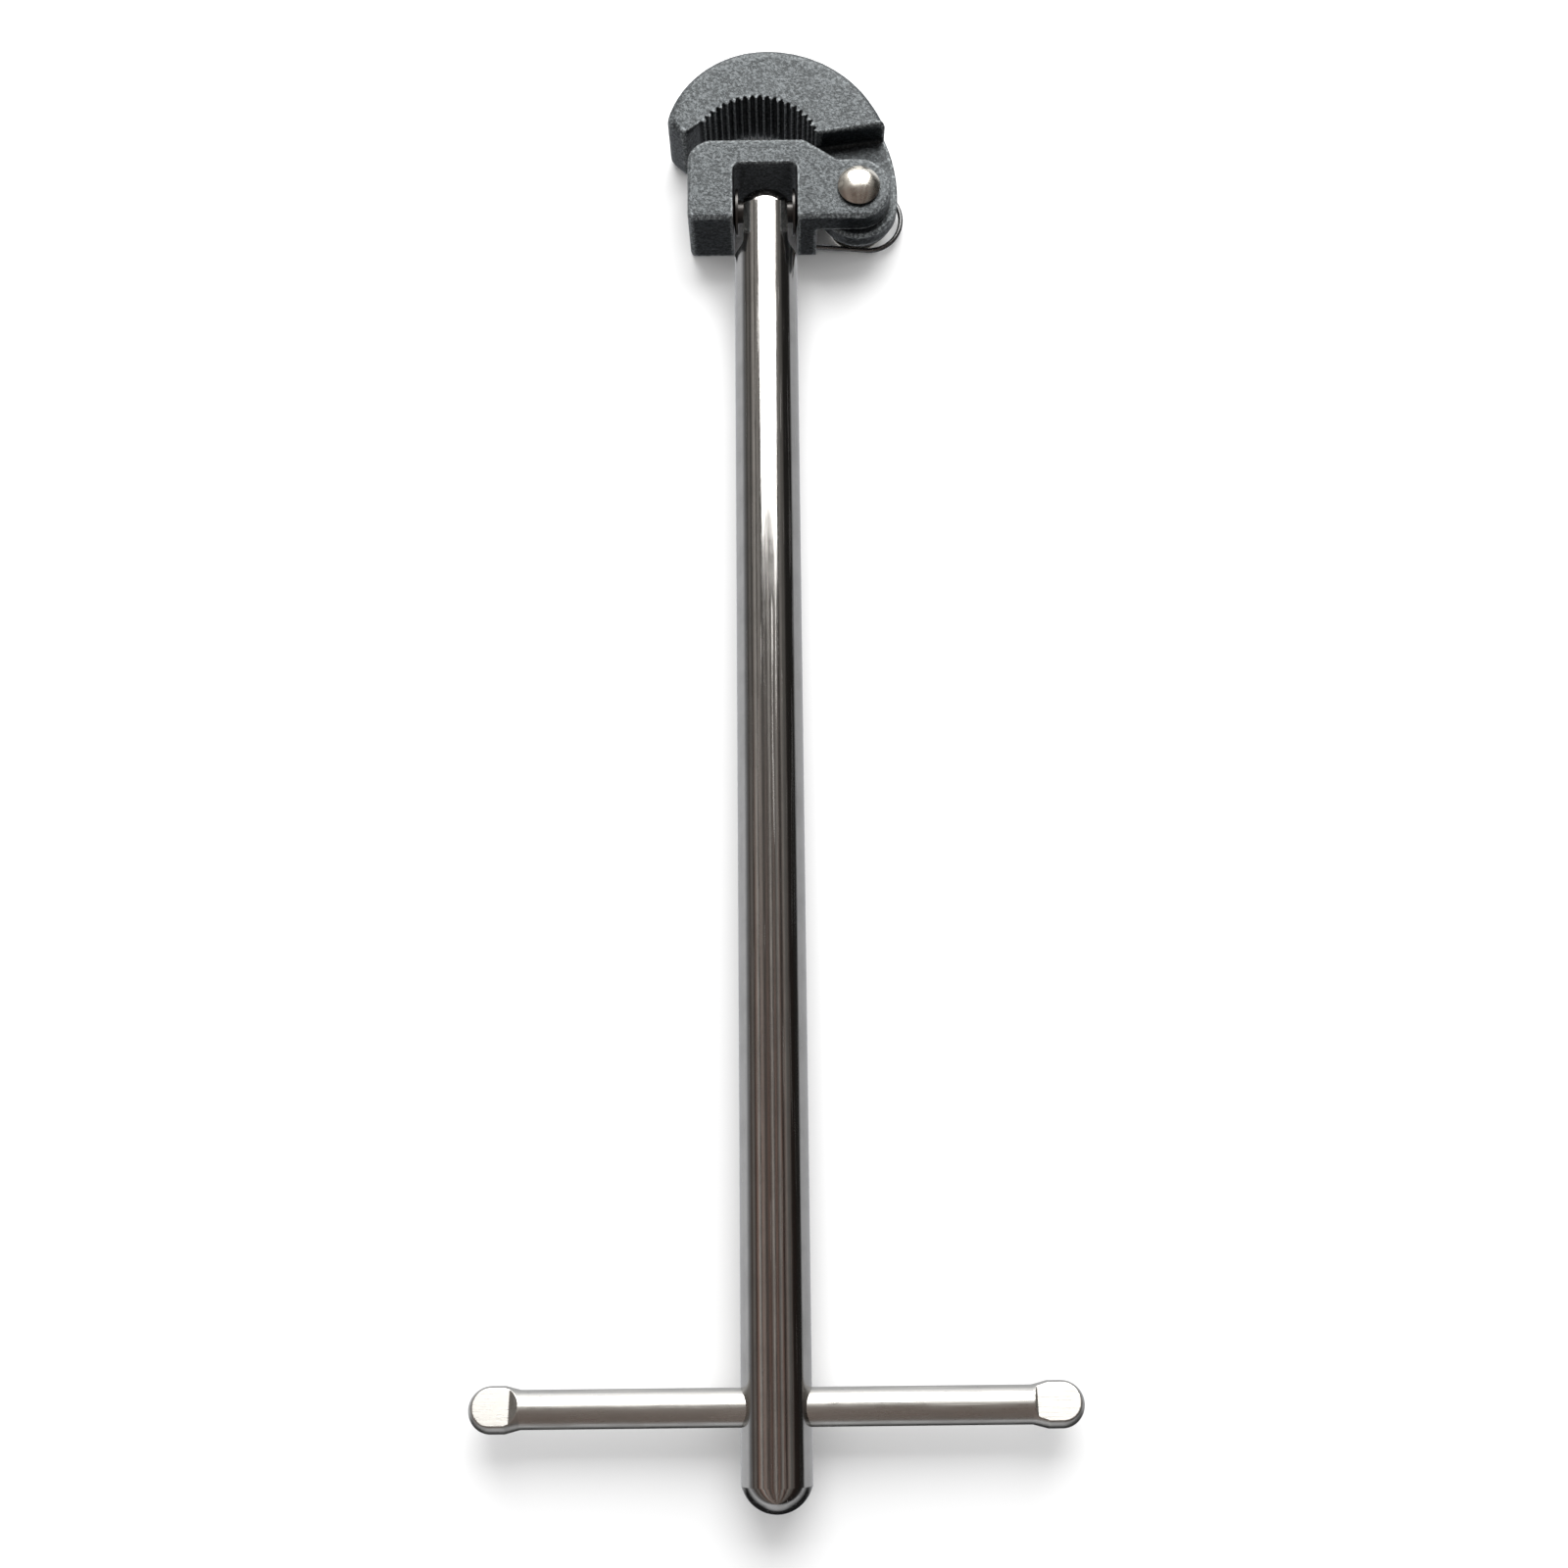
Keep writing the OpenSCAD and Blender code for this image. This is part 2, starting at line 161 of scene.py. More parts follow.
class HeadSettings(bpy.types.PropertyGroup):
    """Sizes in millimetres of the head body."""

    anvil_right: length("Anvil right", "Distance to the right end of the anvil face", 7.9)
    shoulder_radius: length("Shoulder radius", "Radius at the anvil face's left end", 4.9)
    slope_radius: length("Slope radius", "Radius at both ends of the slope to the ear", 2.0)
    heel_radius: length("Heel radius", "Radius of the bottom left corner", 1.2)
    ear_thickness: length("Ear thickness", "Thickness of the ear that carries the jaw", 5.4)
    ear_flat: length("Ear flat", "Length of the flat on top of the ear", 4.2)
    leg: length("Leg", "Thickness between the slot and the jaw's recess", 3.9)
    slot_width: length("Slot width", "Width of the slot for the tongue", 12.9)
    slot_top: length("Slot top", "Distance from the hinge axis to the slot's end", 6.6)
    slot_radius: length("Slot radius", "Radius in the slot's top corners", 1.5)
    edge_radius: length("Edge radius", "Rounding of the casting's front edges", 0.8)
    rear_radius: length("Rear radius", "Rounding of the casting's back edges", 0.3)


class JawSettings(bpy.types.PropertyGroup):
    """Sizes in millimetres of the jaw."""

    bite_radius: length("Bite radius", "Radius of the bite at half the height of its teeth", 13.2)
    bite_left: length("Bite left", "Place of the bite's centre, left of the hinge axis", 1.6)
    bite_up: length("Bite up", "Place of the bite's centre, above the hinge axis", 8.2)
    teeth: IntProperty(name="Teeth", description="Number of teeth", default=19, min=3)
    tooth_height: length("Tooth height", "Height of the teeth", 0.9)
    crown_radius: length("Crown radius", "Outer radius over the hook's left half", 20.7)
    crown_right: length("Crown right", "Place of the crown's centre, right of the axis", 0.4)
    back_radius: length("Back radius", "Outer radius over the hook's right half", 24.6)
    lug_radius: length("Lug radius", "Radius of the lug around the pivot", 8.0)
    lug_thickness: length("Lug thickness", "Thickness of the lug", 4.1)
    land: length("Land", "Length of the plain land at the tip", 4.7)
    tip_radius: length("Tip radius", "Radius at the land's end", 0.8)
    nose_radius: length("Nose radius", "Radius of the hook's nose", 2.4)
    edge_radius: length("Edge radius", "Rounding of the hook's front edges", 1.9)
    rear_radius: length("Rear radius", "Rounding of the hook's back edges", 1.4)


class FittingSettings(bpy.types.PropertyGroup):
    """Sizes in millimetres and colours of the rivet, pin, washers and spring."""

    dome_height: length("Dome height", "Height of the rivet's dome", 1.8)
    rim: length("Rim", "Thickness of the rivet head's rim", 0.4)
    collar: length("Collar", "Height of the rivet's collar", 0.3)
    collar_diameter: length("Collar diameter", "Diameter of the rivet's collar", 6.6)
    shank: length("Shank", "Diameter of the rivet's shank", 5.5)
    head_diameter: length("Head diameter", "Diameter of the rivet's head", 8.4)
    tail: length("Tail", "Thickness of the rivet's peened tail", 0.4)
    tail_diameter: length("Tail diameter", "Diameter of the rivet's peened tail", 8.0)
    wire: length("Wire", "Diameter of the spring's wire", 1.0)
    coil_radius: length("Coil radius", "Radius of the coil to the middle of its wire", 6.8)
    coil_up: length("Coil up", "Height of the coil's middle above the jaw's pivot", 0.5)
    coil_lean: length("Coil lean", "How far the coil leans to the right at its back", 2.8)
    nickel: colour("Nickel", "Colour of the rivet", (0.82, 0.78, 0.70))
    pin_steel: colour("Pin steel", "Colour of the hinge pin and its washers", (0.13, 0.125, 0.12))
    wire_steel: colour("Wire steel", "Colour of the spring's wire", (0.22, 0.22, 0.22))


class CoatSettings(bpy.types.PropertyGroup):
    """The crinkled coat on the castings, with sizes in millimetres."""

    voxel: length("Voxel", "Mesh size of the castings", 0.25, 0.1)
    grain: length("Grain", "Size of the crinkles", 0.85)
    depth: length("Depth", "Depth of the crinkles", 0.13)
    dark: colour("Dark", "Colour of the coat in the hollows", (0.003, 0.004, 0.005))
    light: colour("Light", "Colour of the coat on the crinkles", (0.011, 0.015, 0.018))
    rubbed: colour("Rubbed", "Colour of the coat where edges are rubbed", (0.26, 0.275, 0.28))


class StageSettings(bpy.types.PropertyGroup):
    """Camera and light."""

    camera_at: FloatVectorProperty(
        name="Camera", description="Place of the camera", default=(0.0025, -0.09895, 0.36439),
        size=3, subtype="TRANSLATION", unit="LENGTH",
    )
    tilt: FloatProperty(
        name="Tilt", description="Tilt of the camera towards the head", default=0.241324,
        subtype="ANGLE",
    )
    roll: FloatProperty(
        name="Roll", description="Roll of the camera", default=-0.0108983, subtype="ANGLE"
    )
    lens: FloatProperty(name="Lens", description="Focal length", default=44.775, min=10)
    softbox: FloatProperty(
        name="Softbox", description="Power of the softbox behind the head", default=14.5, min=0
    )
    pale: colour("Pale", "Colour of the floor and the surroundings", (0.93, 0.93, 0.93))


SETTINGS = {
    "wrench_shaft": ShaftSettings,
    "wrench_bar": BarSettings,
    "wrench_head": HeadSettings,
    "wrench_jaw": JawSettings,
    "wrench_fittings": FittingSettings,
    "wrench_coat": CoatSettings,
    "wrench_stage": StageSettings,
}


# Outlines: lists of 2D points in millimetres about the hinge axis


def polar(centre, radius, degrees):
    """The point at an angle on a circle."""
    turn = math.radians(degrees)
    return Vector((centre[0] + radius * math.cos(turn), centre[1] + radius * math.sin(turn)))


def arc(centre, radius, start, end, step=3.0):
    """Points of an arc between two angles in degrees."""
    count = max(2, math.ceil(abs(end - start) / step))
    return [polar(centre, radius, start + (end - start) * i / count) for i in range(count + 1)]


def angle_of(vector):
    """A vector's angle in degrees."""
    return math.degrees(math.atan2(vector[1], vector[0]))


def ray_to_circle(start, degrees, centre, radius):
    """The far point where a ray meets a circle."""
    ray = polar((0, 0), 1, degrees)
    offset = start - centre
    along = offset.dot(ray)
    return start + ray * (math.sqrt(along * along - offset.dot(offset) + radius * radius) - along)


def rounded_corner(before, corner, after, radius, step=12.0):
    """Points that round a corner between its two neighbours."""
    if radius == 0:
        return [corner.copy()]
    u = (before - corner).normalized()
    v = (after - corner).normalized()
    half = u.angle(v) / 2
    centre = corner + (u + v).normalized() * radius / math.sin(half)
    first = angle_of(corner + u * radius / math.tan(half) - centre)
    last = angle_of(corner + v * radius / math.tan(half) - centre)
    turn = (last - first + 180) % 360 - 180
    return arc(centre, radius, first, first + turn, step)


def rounded_outline(corners):
    """An outline from corners given as (x, y, radius)."""
    places = [Vector(c[:2]) for c in corners]
    points = []
    for i, corner in enumerate(corners):
        after = places[(i + 1) % len(places)]
        points += rounded_corner(places[i - 1], places[i], after, corner[2])
    return points


def resampled(points, spacing):
    """The outline with extra points, so that no side is longer than the spacing."""
    full = []
    for i, point in enumerate(points):
        after = points[(i + 1) % len(points)]
        count = max(1, math.ceil((after - point).length / spacing))
        full += [point.lerp(after, k / count) for k in range(count)]
    return full


# Meshes: everything is modelled in millimetres about the hinge axis, then placed


def mesh_object(name, shape):
    """An object that holds a finished bmesh."""
    bmesh.ops.recalc_face_normals(shape, faces=shape.faces)
    mesh = bpy.data.meshes.new(name)
    shape.to_mesh(mesh)
    shape.free()
    piece = bpy.data.objects.new(name, mesh)
    bpy.context.scene.collection.objects.link(piece)
    return piece


def turned(name, profile, at=(0, 0, 0), axis="Y", sides=96):
    """A piece turned on a lathe, from points that are (distance along the axis, radius)."""
    shape = bmesh.new()
    rings = []
    for along, radius in profile:
        ring = []
        for i in range(sides if radius > 0 else 1):
            turn = 2 * math.pi * i / sides
            across = (radius * math.cos(turn), radius * math.sin(turn))
            point = {
                "X": (along, across[0], across[1]),
                "Y": (across[0], along, across[1]),
                "Z": (across[0], across[1], along),
            }[axis]
            ring.append(shape.verts.new(Vector(point) + Vector(at)))
        rings.append(ring)
    closed = profile[0][1] > 0 and profile[-1][1] > 0
    pairs = list(zip(rings, rings[1:] + (rings[:1] if closed else [])))
    for low, high in pairs[: len(rings) if closed else len(rings) - 1]:
        for i in range(sides):
            j = (i + 1) % sides
            corners = [low[i % len(low)], low[j % len(low)], high[j % len(high)], high[i % len(high)]]
            corners = list(dict.fromkeys(corners))
            if len(corners) > 2:
                shape.faces.new(corners)
    return mesh_object(name, shape)


def slab(name, outline, low, high):
    """A flat shape given thickness."""
    shape = bmesh.new()
    rings = [[shape.verts.new((p[0], p[1], z)) for p in outline] for z in (low, high)]
    count = len(outline)
    for i in range(count):
        j = (i + 1) % count
        shape.faces.new((rings[0][i], rings[0][j], rings[1][j], rings[1][i]))
    caps = [shape.faces.new(rings[0]), shape.faces.new(rings[1])]
    bmesh.ops.triangulate(shape, faces=caps)
    return mesh_object(name, shape)


def cast_slab(name, outline, softness, low, high, front_radius, back_radius, steps=7):
    """A slab whose front and back edges are rounded by a radius times each point's softness."""
    count = len(outline)
    normals = []
    for i in range(count):
        along = (outline[(i + 1) % count] - outline[i - 1]).normalized()
        normals.append(Vector((along.y, -along.x)))
    turns = [math.radians(90 * i / steps) for i in range(steps + 1)]
    levels = [
        (low + back_radius * (1 - math.sin(t)), back_radius * (1 - math.cos(t)))
        for t in reversed(turns)
    ]
    levels += [
        (high - front_radius * (1 - math.sin(t)), front_radius * (1 - math.cos(t))) for t in turns
    ]
    shape = bmesh.new()
    rings = [
        [shape.verts.new((*(p - n * inset * s), z)) for p, n, s in zip(outline, normals, softness)]
        for z, inset in levels
    ]
    for below, above in zip(rings, rings[1:]):
        for i in range(count):
            j = (i + 1) % count
            shape.faces.new((below[i], below[j], above[j], above[i]))
    caps = [shape.faces.new(rings[0]), shape.faces.new(rings[-1])]
    bmesh.ops.triangulate(shape, faces=caps)
    return mesh_object(name, shape)


def settled(piece):
    """The piece with its modifiers applied and its mesh plain."""
    graph = bpy.context.evaluated_depsgraph_get()
    mesh = bpy.data.meshes.new_from_object(piece.evaluated_get(graph))
    piece.modifiers.clear()
    piece.data = mesh
    return piece


def without(piece, *cutters):
    """The piece with each cutter's shape taken away."""
    for cutter in cutters:
        cut = piece.modifiers.new("Cut", "BOOLEAN")
        cut.operation, cut.solver, cut.object = "DIFFERENCE", "EXACT", cutter
    settled(piece)
    for cutter in cutters:
        bpy.data.objects.remove(cutter)
    return piece


def joined(piece, *others):
    """One object that holds the shapes of several."""
    shape = bmesh.new()
    for source in (piece, *others):
        shape.from_mesh(source.data)
    shape.to_mesh(piece.data)
    shape.free()
    for other in others:
        bpy.data.objects.remove(other)
    return piece


def bevelled(piece, width, degrees=35):
    """The piece with its sharp edges softened."""
    bevel = piece.modifiers.new("Soft edges", "BEVEL")
    bevel.width, bevel.segments = width, 2
    bevel.limit_method, bevel.angle_limit = "ANGLE", math.radians(degrees)
    return settled(piece)


def skinned(piece, voxel, passes):
    """The piece as one even skin, with its edges softened as a casting's are."""
    skin = piece.modifiers.new("Skin", "REMESH")
    skin.mode, skin.voxel_size, skin.use_smooth_shade = "VOXEL", voxel, True
    ease = piece.modifiers.new("Ease", "SMOOTH")
    ease.factor, ease.iterations = 0.5, passes
    return settled(piece)


def shade_by_surfaces(piece, surfaces):
    """Gives each corner the true normal of the surface that it lies on. A surface is a function
    of a point that returns how far off it the point is and its normal there."""
    mesh = piece.data
    near = 0.02
    normals = []
    for polygon in mesh.polygons:
        corners = [mesh.vertices[v].co for v in polygon.vertices]
        found = [[surface(c) for c in corners] for surface in surfaces]
        whole = [
            hits for hits in found
            if all(off < near for off, _ in hits)
            and sum((n for _, n in hits), Vector()).normalized().dot(polygon.normal) > 0.93
        ]
        for i in range(len(corners)):
            if whole:
                normals.append(whole[0][i][1])
                continue
            touching = [hits[i][1] for hits in found if hits[i][0] < near]
            facing = [n for n in touching if n.dot(polygon.normal) > 0.3]
            normals.append(max(facing, key=polygon.normal.dot) if facing else polygon.normal.copy())
    mesh.shade_smooth()
    mesh.normals_split_custom_set(normals)
    return piece


def cylinder_surface(centre, axis, radius, inward=False):
    """A cylinder's surface, for shade_by_surfaces."""
    along = Vector(axis)

    def surface(point):
        across = point - Vector(centre)
        across = across - along * across.dot(along)
        normal = across.normalized()
        return abs(across.length - radius), -normal if inward else normal

    return surface


def ball_surface(centre, radius):
    """A ball's surface, for shade_by_surfaces."""

    def surface(point):
        across = point - Vector(centre)
        return abs(across.length - radius), across.normalized()

    return surface


def smooth(piece, degrees=35):
    """The piece shaded smooth, with edges sharper than an angle kept crisp."""
    piece.data.shade_smooth()
    piece.data.set_sharp_from_angle(angle=math.radians(degrees))
    return piece


def placed(piece, body, material, slot, *nodes):
    """The finished piece moved to its place in the frame, where it stands for CAD nodes."""
    piece.data.transform(Matrix.Translation(HINGE) @ Matrix.Scale(MM, 4))
    piece.data.materials.clear()
    piece.data.materials.append(material)
    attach(piece, body)
    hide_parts(*nodes)
    return piece


# Geometry Nodes


class Tree:
    """A geometry node tree with named inputs."""

    def __init__(self, name, inputs):
        self.tree = bpy.data.node_groups.new(name, "GeometryNodeTree")
        face = self.tree.interface
        face.new_socket("Geometry", in_out="INPUT", socket_type="NodeSocketGeometry")
        face.new_socket("Geometry", in_out="OUTPUT", socket_type="NodeSocketGeometry")
        self.keys = {}
        for label, kind in inputs:
            item = face.new_socket(label, in_out="INPUT", socket_type="NodeSocket" + kind)
            self.keys[label] = item.identifier
        self.source = self.tree.nodes.new("NodeGroupInput")
        self.target = self.tree.nodes.new("NodeGroupOutput")

    def add(self, kind, feeds=None, **settings):
        """A node, with its sockets fed by other sockets or by values."""
        node = self.tree.nodes.new(kind)
        for key, value in settings.items():
            setattr(node, key, value)
        for key, value in (feeds or {}).items():
            if isinstance(value, bpy.types.NodeSocket):
                self.tree.links.new(value, node.inputs[key])
            else:
                node.inputs[key].default_value = value
        return node

    def math(self, operation, *values):
        """The result of a math node."""
        return self.add("ShaderNodeMath", dict(enumerate(values)), operation=operation).outputs[0]

    def finish(self, geometry):
        """Real geometry with its material, at the tree's end."""
        real = self.add("GeometryNodeRealizeInstances", {"Geometry": geometry})
        paint = self.add(
            "GeometryNodeSetMaterial",
            {"Geometry": real.outputs[0], "Material": self.source.outputs["Material"]},
        )
        self.tree.links.new(paint.outputs[0], self.target.inputs[0])

    def put_on(self, piece, values):
        """The piece with the tree's result as its plain mesh."""
        modifier = piece.modifiers.new(self.tree.name, "NODES")
        modifier.node_group = self.tree
        for label, value in values.items():
            modifier[self.keys[label]] = value
        return settled(piece)


# Side of the three-sided rib in teeth_tree, which stands 1 high
RIB_SIDE = 2 / math.sqrt(3)


def teeth_tree():
    """Sharp ribs side by side along an arc, pointing at its centre."""
    t = Tree("Row of teeth", [
        ("Centre", "Vector"), ("Radius", "Float"), ("First angle", "Float"), ("Sweep", "Float"),
        ("Count", "Int"), ("Height", "Float"), ("Width", "Float"), ("Depth", "Float"),
        ("Material", "Material"),
    ])
    get = t.source.outputs
    row = t.add("GeometryNodeMeshLine", {"Count": get["Count"]})
    number = t.add("GeometryNodeInputIndex").outputs[0]
    share = t.math("DIVIDE", t.math("ADD", number, 0.5), get["Count"])
    angle = t.math("ADD", get["First angle"], t.math("MULTIPLY", get["Sweep"], share))
    spot = t.add("ShaderNodeCombineXYZ", {
        "X": t.math("MULTIPLY", get["Radius"], t.math("COSINE", angle)),
        "Y": t.math("MULTIPLY", get["Radius"], t.math("SINE", angle)),
    })
    place = t.add("ShaderNodeVectorMath", {0: spot.outputs[0], 1: get["Centre"]}, operation="ADD")
    points = t.add("GeometryNodeSetPosition", {"Geometry": row.outputs[0], "Position": place.outputs[0]})
    rib = t.add("GeometryNodeMeshCylinder", {"Vertices": 3, "Radius": 2 / 3, "Depth": get["Depth"]})
    size = t.add("ShaderNodeCombineXYZ", {"X": get["Height"], "Y": get["Width"], "Z": 1.0})
    shaped = t.add(
        "GeometryNodeTransform", {"Geometry": rib.outputs[0], "Scale": size.outputs[0]}
    )
    turn = t.add("ShaderNodeCombineXYZ", {"Z": t.math("ADD", angle, math.pi)})
    ribs = t.add("GeometryNodeInstanceOnPoints", {
        "Points": points.outputs[0], "Instance": shaped.outputs[0], "Rotation": turn.outputs[0],
    })
    t.finish(ribs.outputs[0])
    return t


def wire_tree():
    """A round wire that follows the edges of a path."""
    t = Tree("Wire", [("Radius", "Float"), ("Bend", "Float"), ("Spacing", "Float"), ("Sides", "Int"),
                      ("Material", "Material")])
    get = t.source.outputs
    curve = t.add("GeometryNodeMeshToCurve", {"Mesh": get["Geometry"]})
    bend = t.add("GeometryNodeFilletCurve", {
        "Curve": curve.outputs[0], "Radius": get["Bend"], "Limit Radius": True, "Count": 8,
    }, mode="POLY")
    even = t.add("GeometryNodeResampleCurve", {
        "Curve": bend.outputs[0], "Length": get["Spacing"],
    }, mode="LENGTH")
    ring = t.add("GeometryNodeCurvePrimitiveCircle", {
        "Resolution": get["Sides"], "Radius": get["Radius"],
    })
    swept = t.add("GeometryNodeCurveToMesh", {
        "Curve": even.outputs[0], "Profile Curve": ring.outputs[0], "Fill Caps": True,
    })
    t.finish(swept.outputs[0])
    return t


def coat_tree():
    """A crinkled coat that stands off a casting's skin."""
    t = Tree("Crinkled coat", [("Grain", "Float"), ("Depth", "Float"), ("Material", "Material")])
    get = t.source.outputs
    scale = t.math("DIVIDE", 1.0, get["Grain"])
    coarse = t.add("ShaderNodeTexNoise", {"Scale": scale, "Detail": 1.5, "Roughness": 0.5})
    lift = t.math("MULTIPLY", t.math("SUBTRACT", coarse.outputs[0], 0.62), get["Depth"])
    normal = t.add("GeometryNodeInputNormal")
    push = t.add("ShaderNodeVectorMath", {0: normal.outputs[0]}, operation="SCALE")
    t.tree.links.new(lift, push.inputs["Scale"])
    moved = t.add("GeometryNodeSetPosition", {"Geometry": get["Geometry"], "Offset": push.outputs[0]})
    t.finish(moved.outputs[0])
    return t


def mark_edges(piece, spread=6):
    """Stores how far each point of an even skin stands out, as the attributes edge and hollow."""
    mesh = piece.data
    places = np.zeros(len(mesh.vertices) * 3)
    mesh.vertices.foreach_get("co", places)
    places = places.reshape(-1, 3)
    normals = np.zeros(len(mesh.vertices) * 3)
    mesh.vertices.foreach_get("normal", normals)
    normals = normals.reshape(-1, 3)
    ends = np.zeros(len(mesh.edges) * 2, int)
    mesh.edges.foreach_get("vertices", ends)
    ends = ends.reshape(-1, 2)
    near = np.bincount(ends.ravel(), minlength=len(places)).clip(1)

    def around(values):
        total = np.zeros_like(values)
        np.add.at(total, ends[:, 0], values[ends[:, 1]])
        np.add.at(total, ends[:, 1], values[ends[:, 0]])
        return total / (near[:, None] if values.ndim > 1 else near)

    gap = np.linalg.norm(places[ends[:, 0]] - places[ends[:, 1]], axis=1).mean()
    bend = ((places - around(places)) * normals).sum(1) / (gap * gap)
    for _ in range(spread):
        bend = (bend + around(bend)) / 2
    for name, value in (("edge", bend), ("hollow", -bend)):
        store = mesh.attributes.new(name, "FLOAT", "POINT")
        store.data.foreach_set("value", np.clip(value / 0.25, 0, 1).astype(np.float32))
    return piece


# Shader groups that several materials share


def shader_group(name, inputs, outputs, build):
    """A shader node group, built once, with named inputs (name, kind, default) and outputs."""
    if name in bpy.data.node_groups:
        return bpy.data.node_groups[name]
    tree = bpy.data.node_groups.new(name, "ShaderNodeTree")
    for label, kind, default in inputs:
        item = tree.interface.new_socket(label, in_out="INPUT", socket_type="NodeSocket" + kind)
        if default is not None:
            item.default_value = default
    for label, kind in outputs:
        tree.interface.new_socket(label, in_out="OUTPUT", socket_type="NodeSocket" + kind)
    source, target = (tree.nodes.new("NodeGroup" + end) for end in ("Input", "Output"))
    build(Shader(tree), source.outputs, target.inputs)
    return tree


class Shader:
    """Short ways to add nodes to a shader tree."""

    def __init__(self, tree):
        self.tree = tree

    def add(self, kind, feeds=None, **settings):
        """A node, with its sockets fed by other sockets or by values."""
        node = self.tree.nodes.new(kind)
        for key, value in settings.items():
            setattr(node, key, value)
        for key, value in (feeds or {}).items():
            self.feed(node.inputs[key], value)
        return node

    def feed(self, socket, value):
        """Links or sets a socket."""
        if isinstance(value, bpy.types.NodeSocket):
            self.tree.links.new(value, socket)
        else:
            socket.default_value = value

    def math(self, operation, *values, clamp=False):
        """The result of a math node."""
        node = self.add("ShaderNodeMath", dict(enumerate(values)), operation=operation)
        node.use_clamp = clamp
        return node.outputs[0]

    def noise(self, vector, scale, detail=2.0, roughness=0.5):
        """A noise texture's value."""
        node = self.add("ShaderNodeTexNoise", {
            "Vector": vector, "Scale": scale, "Detail": detail, "Roughness": roughness,
        })
        return node.outputs[0]

    def spread(self, value, low, high, to_low=0.0, to_high=1.0):
        """A value mapped from one range to another."""
        node = self.add("ShaderNodeMapRange", {
            "Value": value, "From Min": low, "From Max": high, "To Min": to_low, "To Max": to_high,
        })
        return node.outputs[0]

    def blend(self, share, first, second):
        """A mix of two colours."""
        node = self.add("ShaderNodeMix", data_type="RGBA")
        self.feed(node.inputs[0], share)
        self.feed(node.inputs[6], first if isinstance(first, bpy.types.NodeSocket) else (*first, 1))
        self.feed(node.inputs[7], second if isinstance(second, bpy.types.NodeSocket) else (*second, 1))
        return node.outputs[2]


def marks_group():
    """Fine marks that run one way over a metal surface, and soft smudges from handling."""

    def build(s, get, put):
        here = s.add("ShaderNodeTexCoord").outputs["Object"]
        drawn = s.add("ShaderNodeVectorMath", {0: here, 1: get["Stretch"]}, operation="MULTIPLY")
        fine = s.noise(drawn.outputs[0], get["Scale"], 3.0, 0.6)
        marks = s.spread(fine, 0.35, 0.65)
        smudges = s.spread(s.noise(here, 160.0, 3.0, 0.6), 0.4, 0.66)
        s.feed(put["Marks"], marks)
        s.feed(put["Smudges"], smudges)
        scratch = s.noise(drawn.outputs[0], s.math("MULTIPLY", get["Scale"], 0.37), 0.0)
        s.feed(put["Scratches"], s.spread(scratch, 0.70, 0.73))

    return shader_group(
        "Drawn marks",
        [("Stretch", "Vector", (1, 0.02, 1)), ("Scale", "Float", 9000.0)],
        [("Marks", "Float"), ("Smudges", "Float"), ("Scratches", "Float")],
        build,
    )


def crinkle_group():
    """The fine grain of a crinkled coat, with its specks and a height for a bump."""

    def build(s, get, put):
        here = s.add("ShaderNodeTexCoord").outputs["Object"]
        scale = s.math("DIVIDE", 1.0, get["Grain"])
        coarse = s.noise(here, scale, 2.0, 0.55)
        fine = s.noise(here, s.math("MULTIPLY", scale, 2.6), 2.0, 0.5)
        height = s.math("ADD", s.math("MULTIPLY", coarse, 0.6), s.math("MULTIPLY", fine, 0.4))
        s.feed(put["Height"], height)
        s.feed(put["Specks"], s.spread(height, 0.46, 0.58))
        s.feed(put["Patches"], s.spread(s.noise(here, 90.0, 2.0), 0.38, 0.64))

    return shader_group(
        "Crinkle",
        [("Grain", "Float", 0.0006)],
        [("Height", "Float"), ("Specks", "Float"), ("Patches", "Float")],
        build,
    )


def material(name, build, **shader):
    """A material with one Principled shader, whose plain values are given by name."""
    made = bpy.data.materials.new(name)
    made.use_nodes = True
    principled = made.node_tree.nodes["Principled BSDF"]
    for label, value in shader.items():
        principled.inputs[label.replace("_", " ")].default_value = value
    build(Shader(made.node_tree), principled.inputs)
    return made


def metal(name, tint, stretch, roughness, marks=0.08, depth=0.000004, scale=9000.0, stain=0.82):
    """A bare or plated metal with drawn marks, scratches and smudges."""

    def build(s, put):
        group = s.add("ShaderNodeGroup", {}, node_tree=marks_group())
        s.feed(group.inputs["Stretch"], stretch)
        s.feed(group.inputs["Scale"], scale)
        out = group.outputs
        dull = tuple(c * stain for c in tint)
        s.feed(put["Base Color"], s.blend(s.math("MULTIPLY", out["Smudges"], 0.6), tint, dull))
        rough = s.math("ADD", roughness, s.math("MULTIPLY", out["Marks"], marks))
        rough = s.math("ADD", rough, s.math("MULTIPLY", out["Smudges"], marks * 0.7))
        s.feed(put["Roughness"], s.math("ADD", rough, s.math("MULTIPLY", out["Scratches"], 0.15)))
        height = s.math("SUBTRACT", out["Marks"], s.math("MULTIPLY", out["Scratches"], 0.8))
        bump = s.add("ShaderNodeBump", {"Height": height, "Distance": depth, "Strength": 0.35})
        s.feed(put["Normal"], bump.outputs[0])

    return material(name, build, Metallic=1.0)


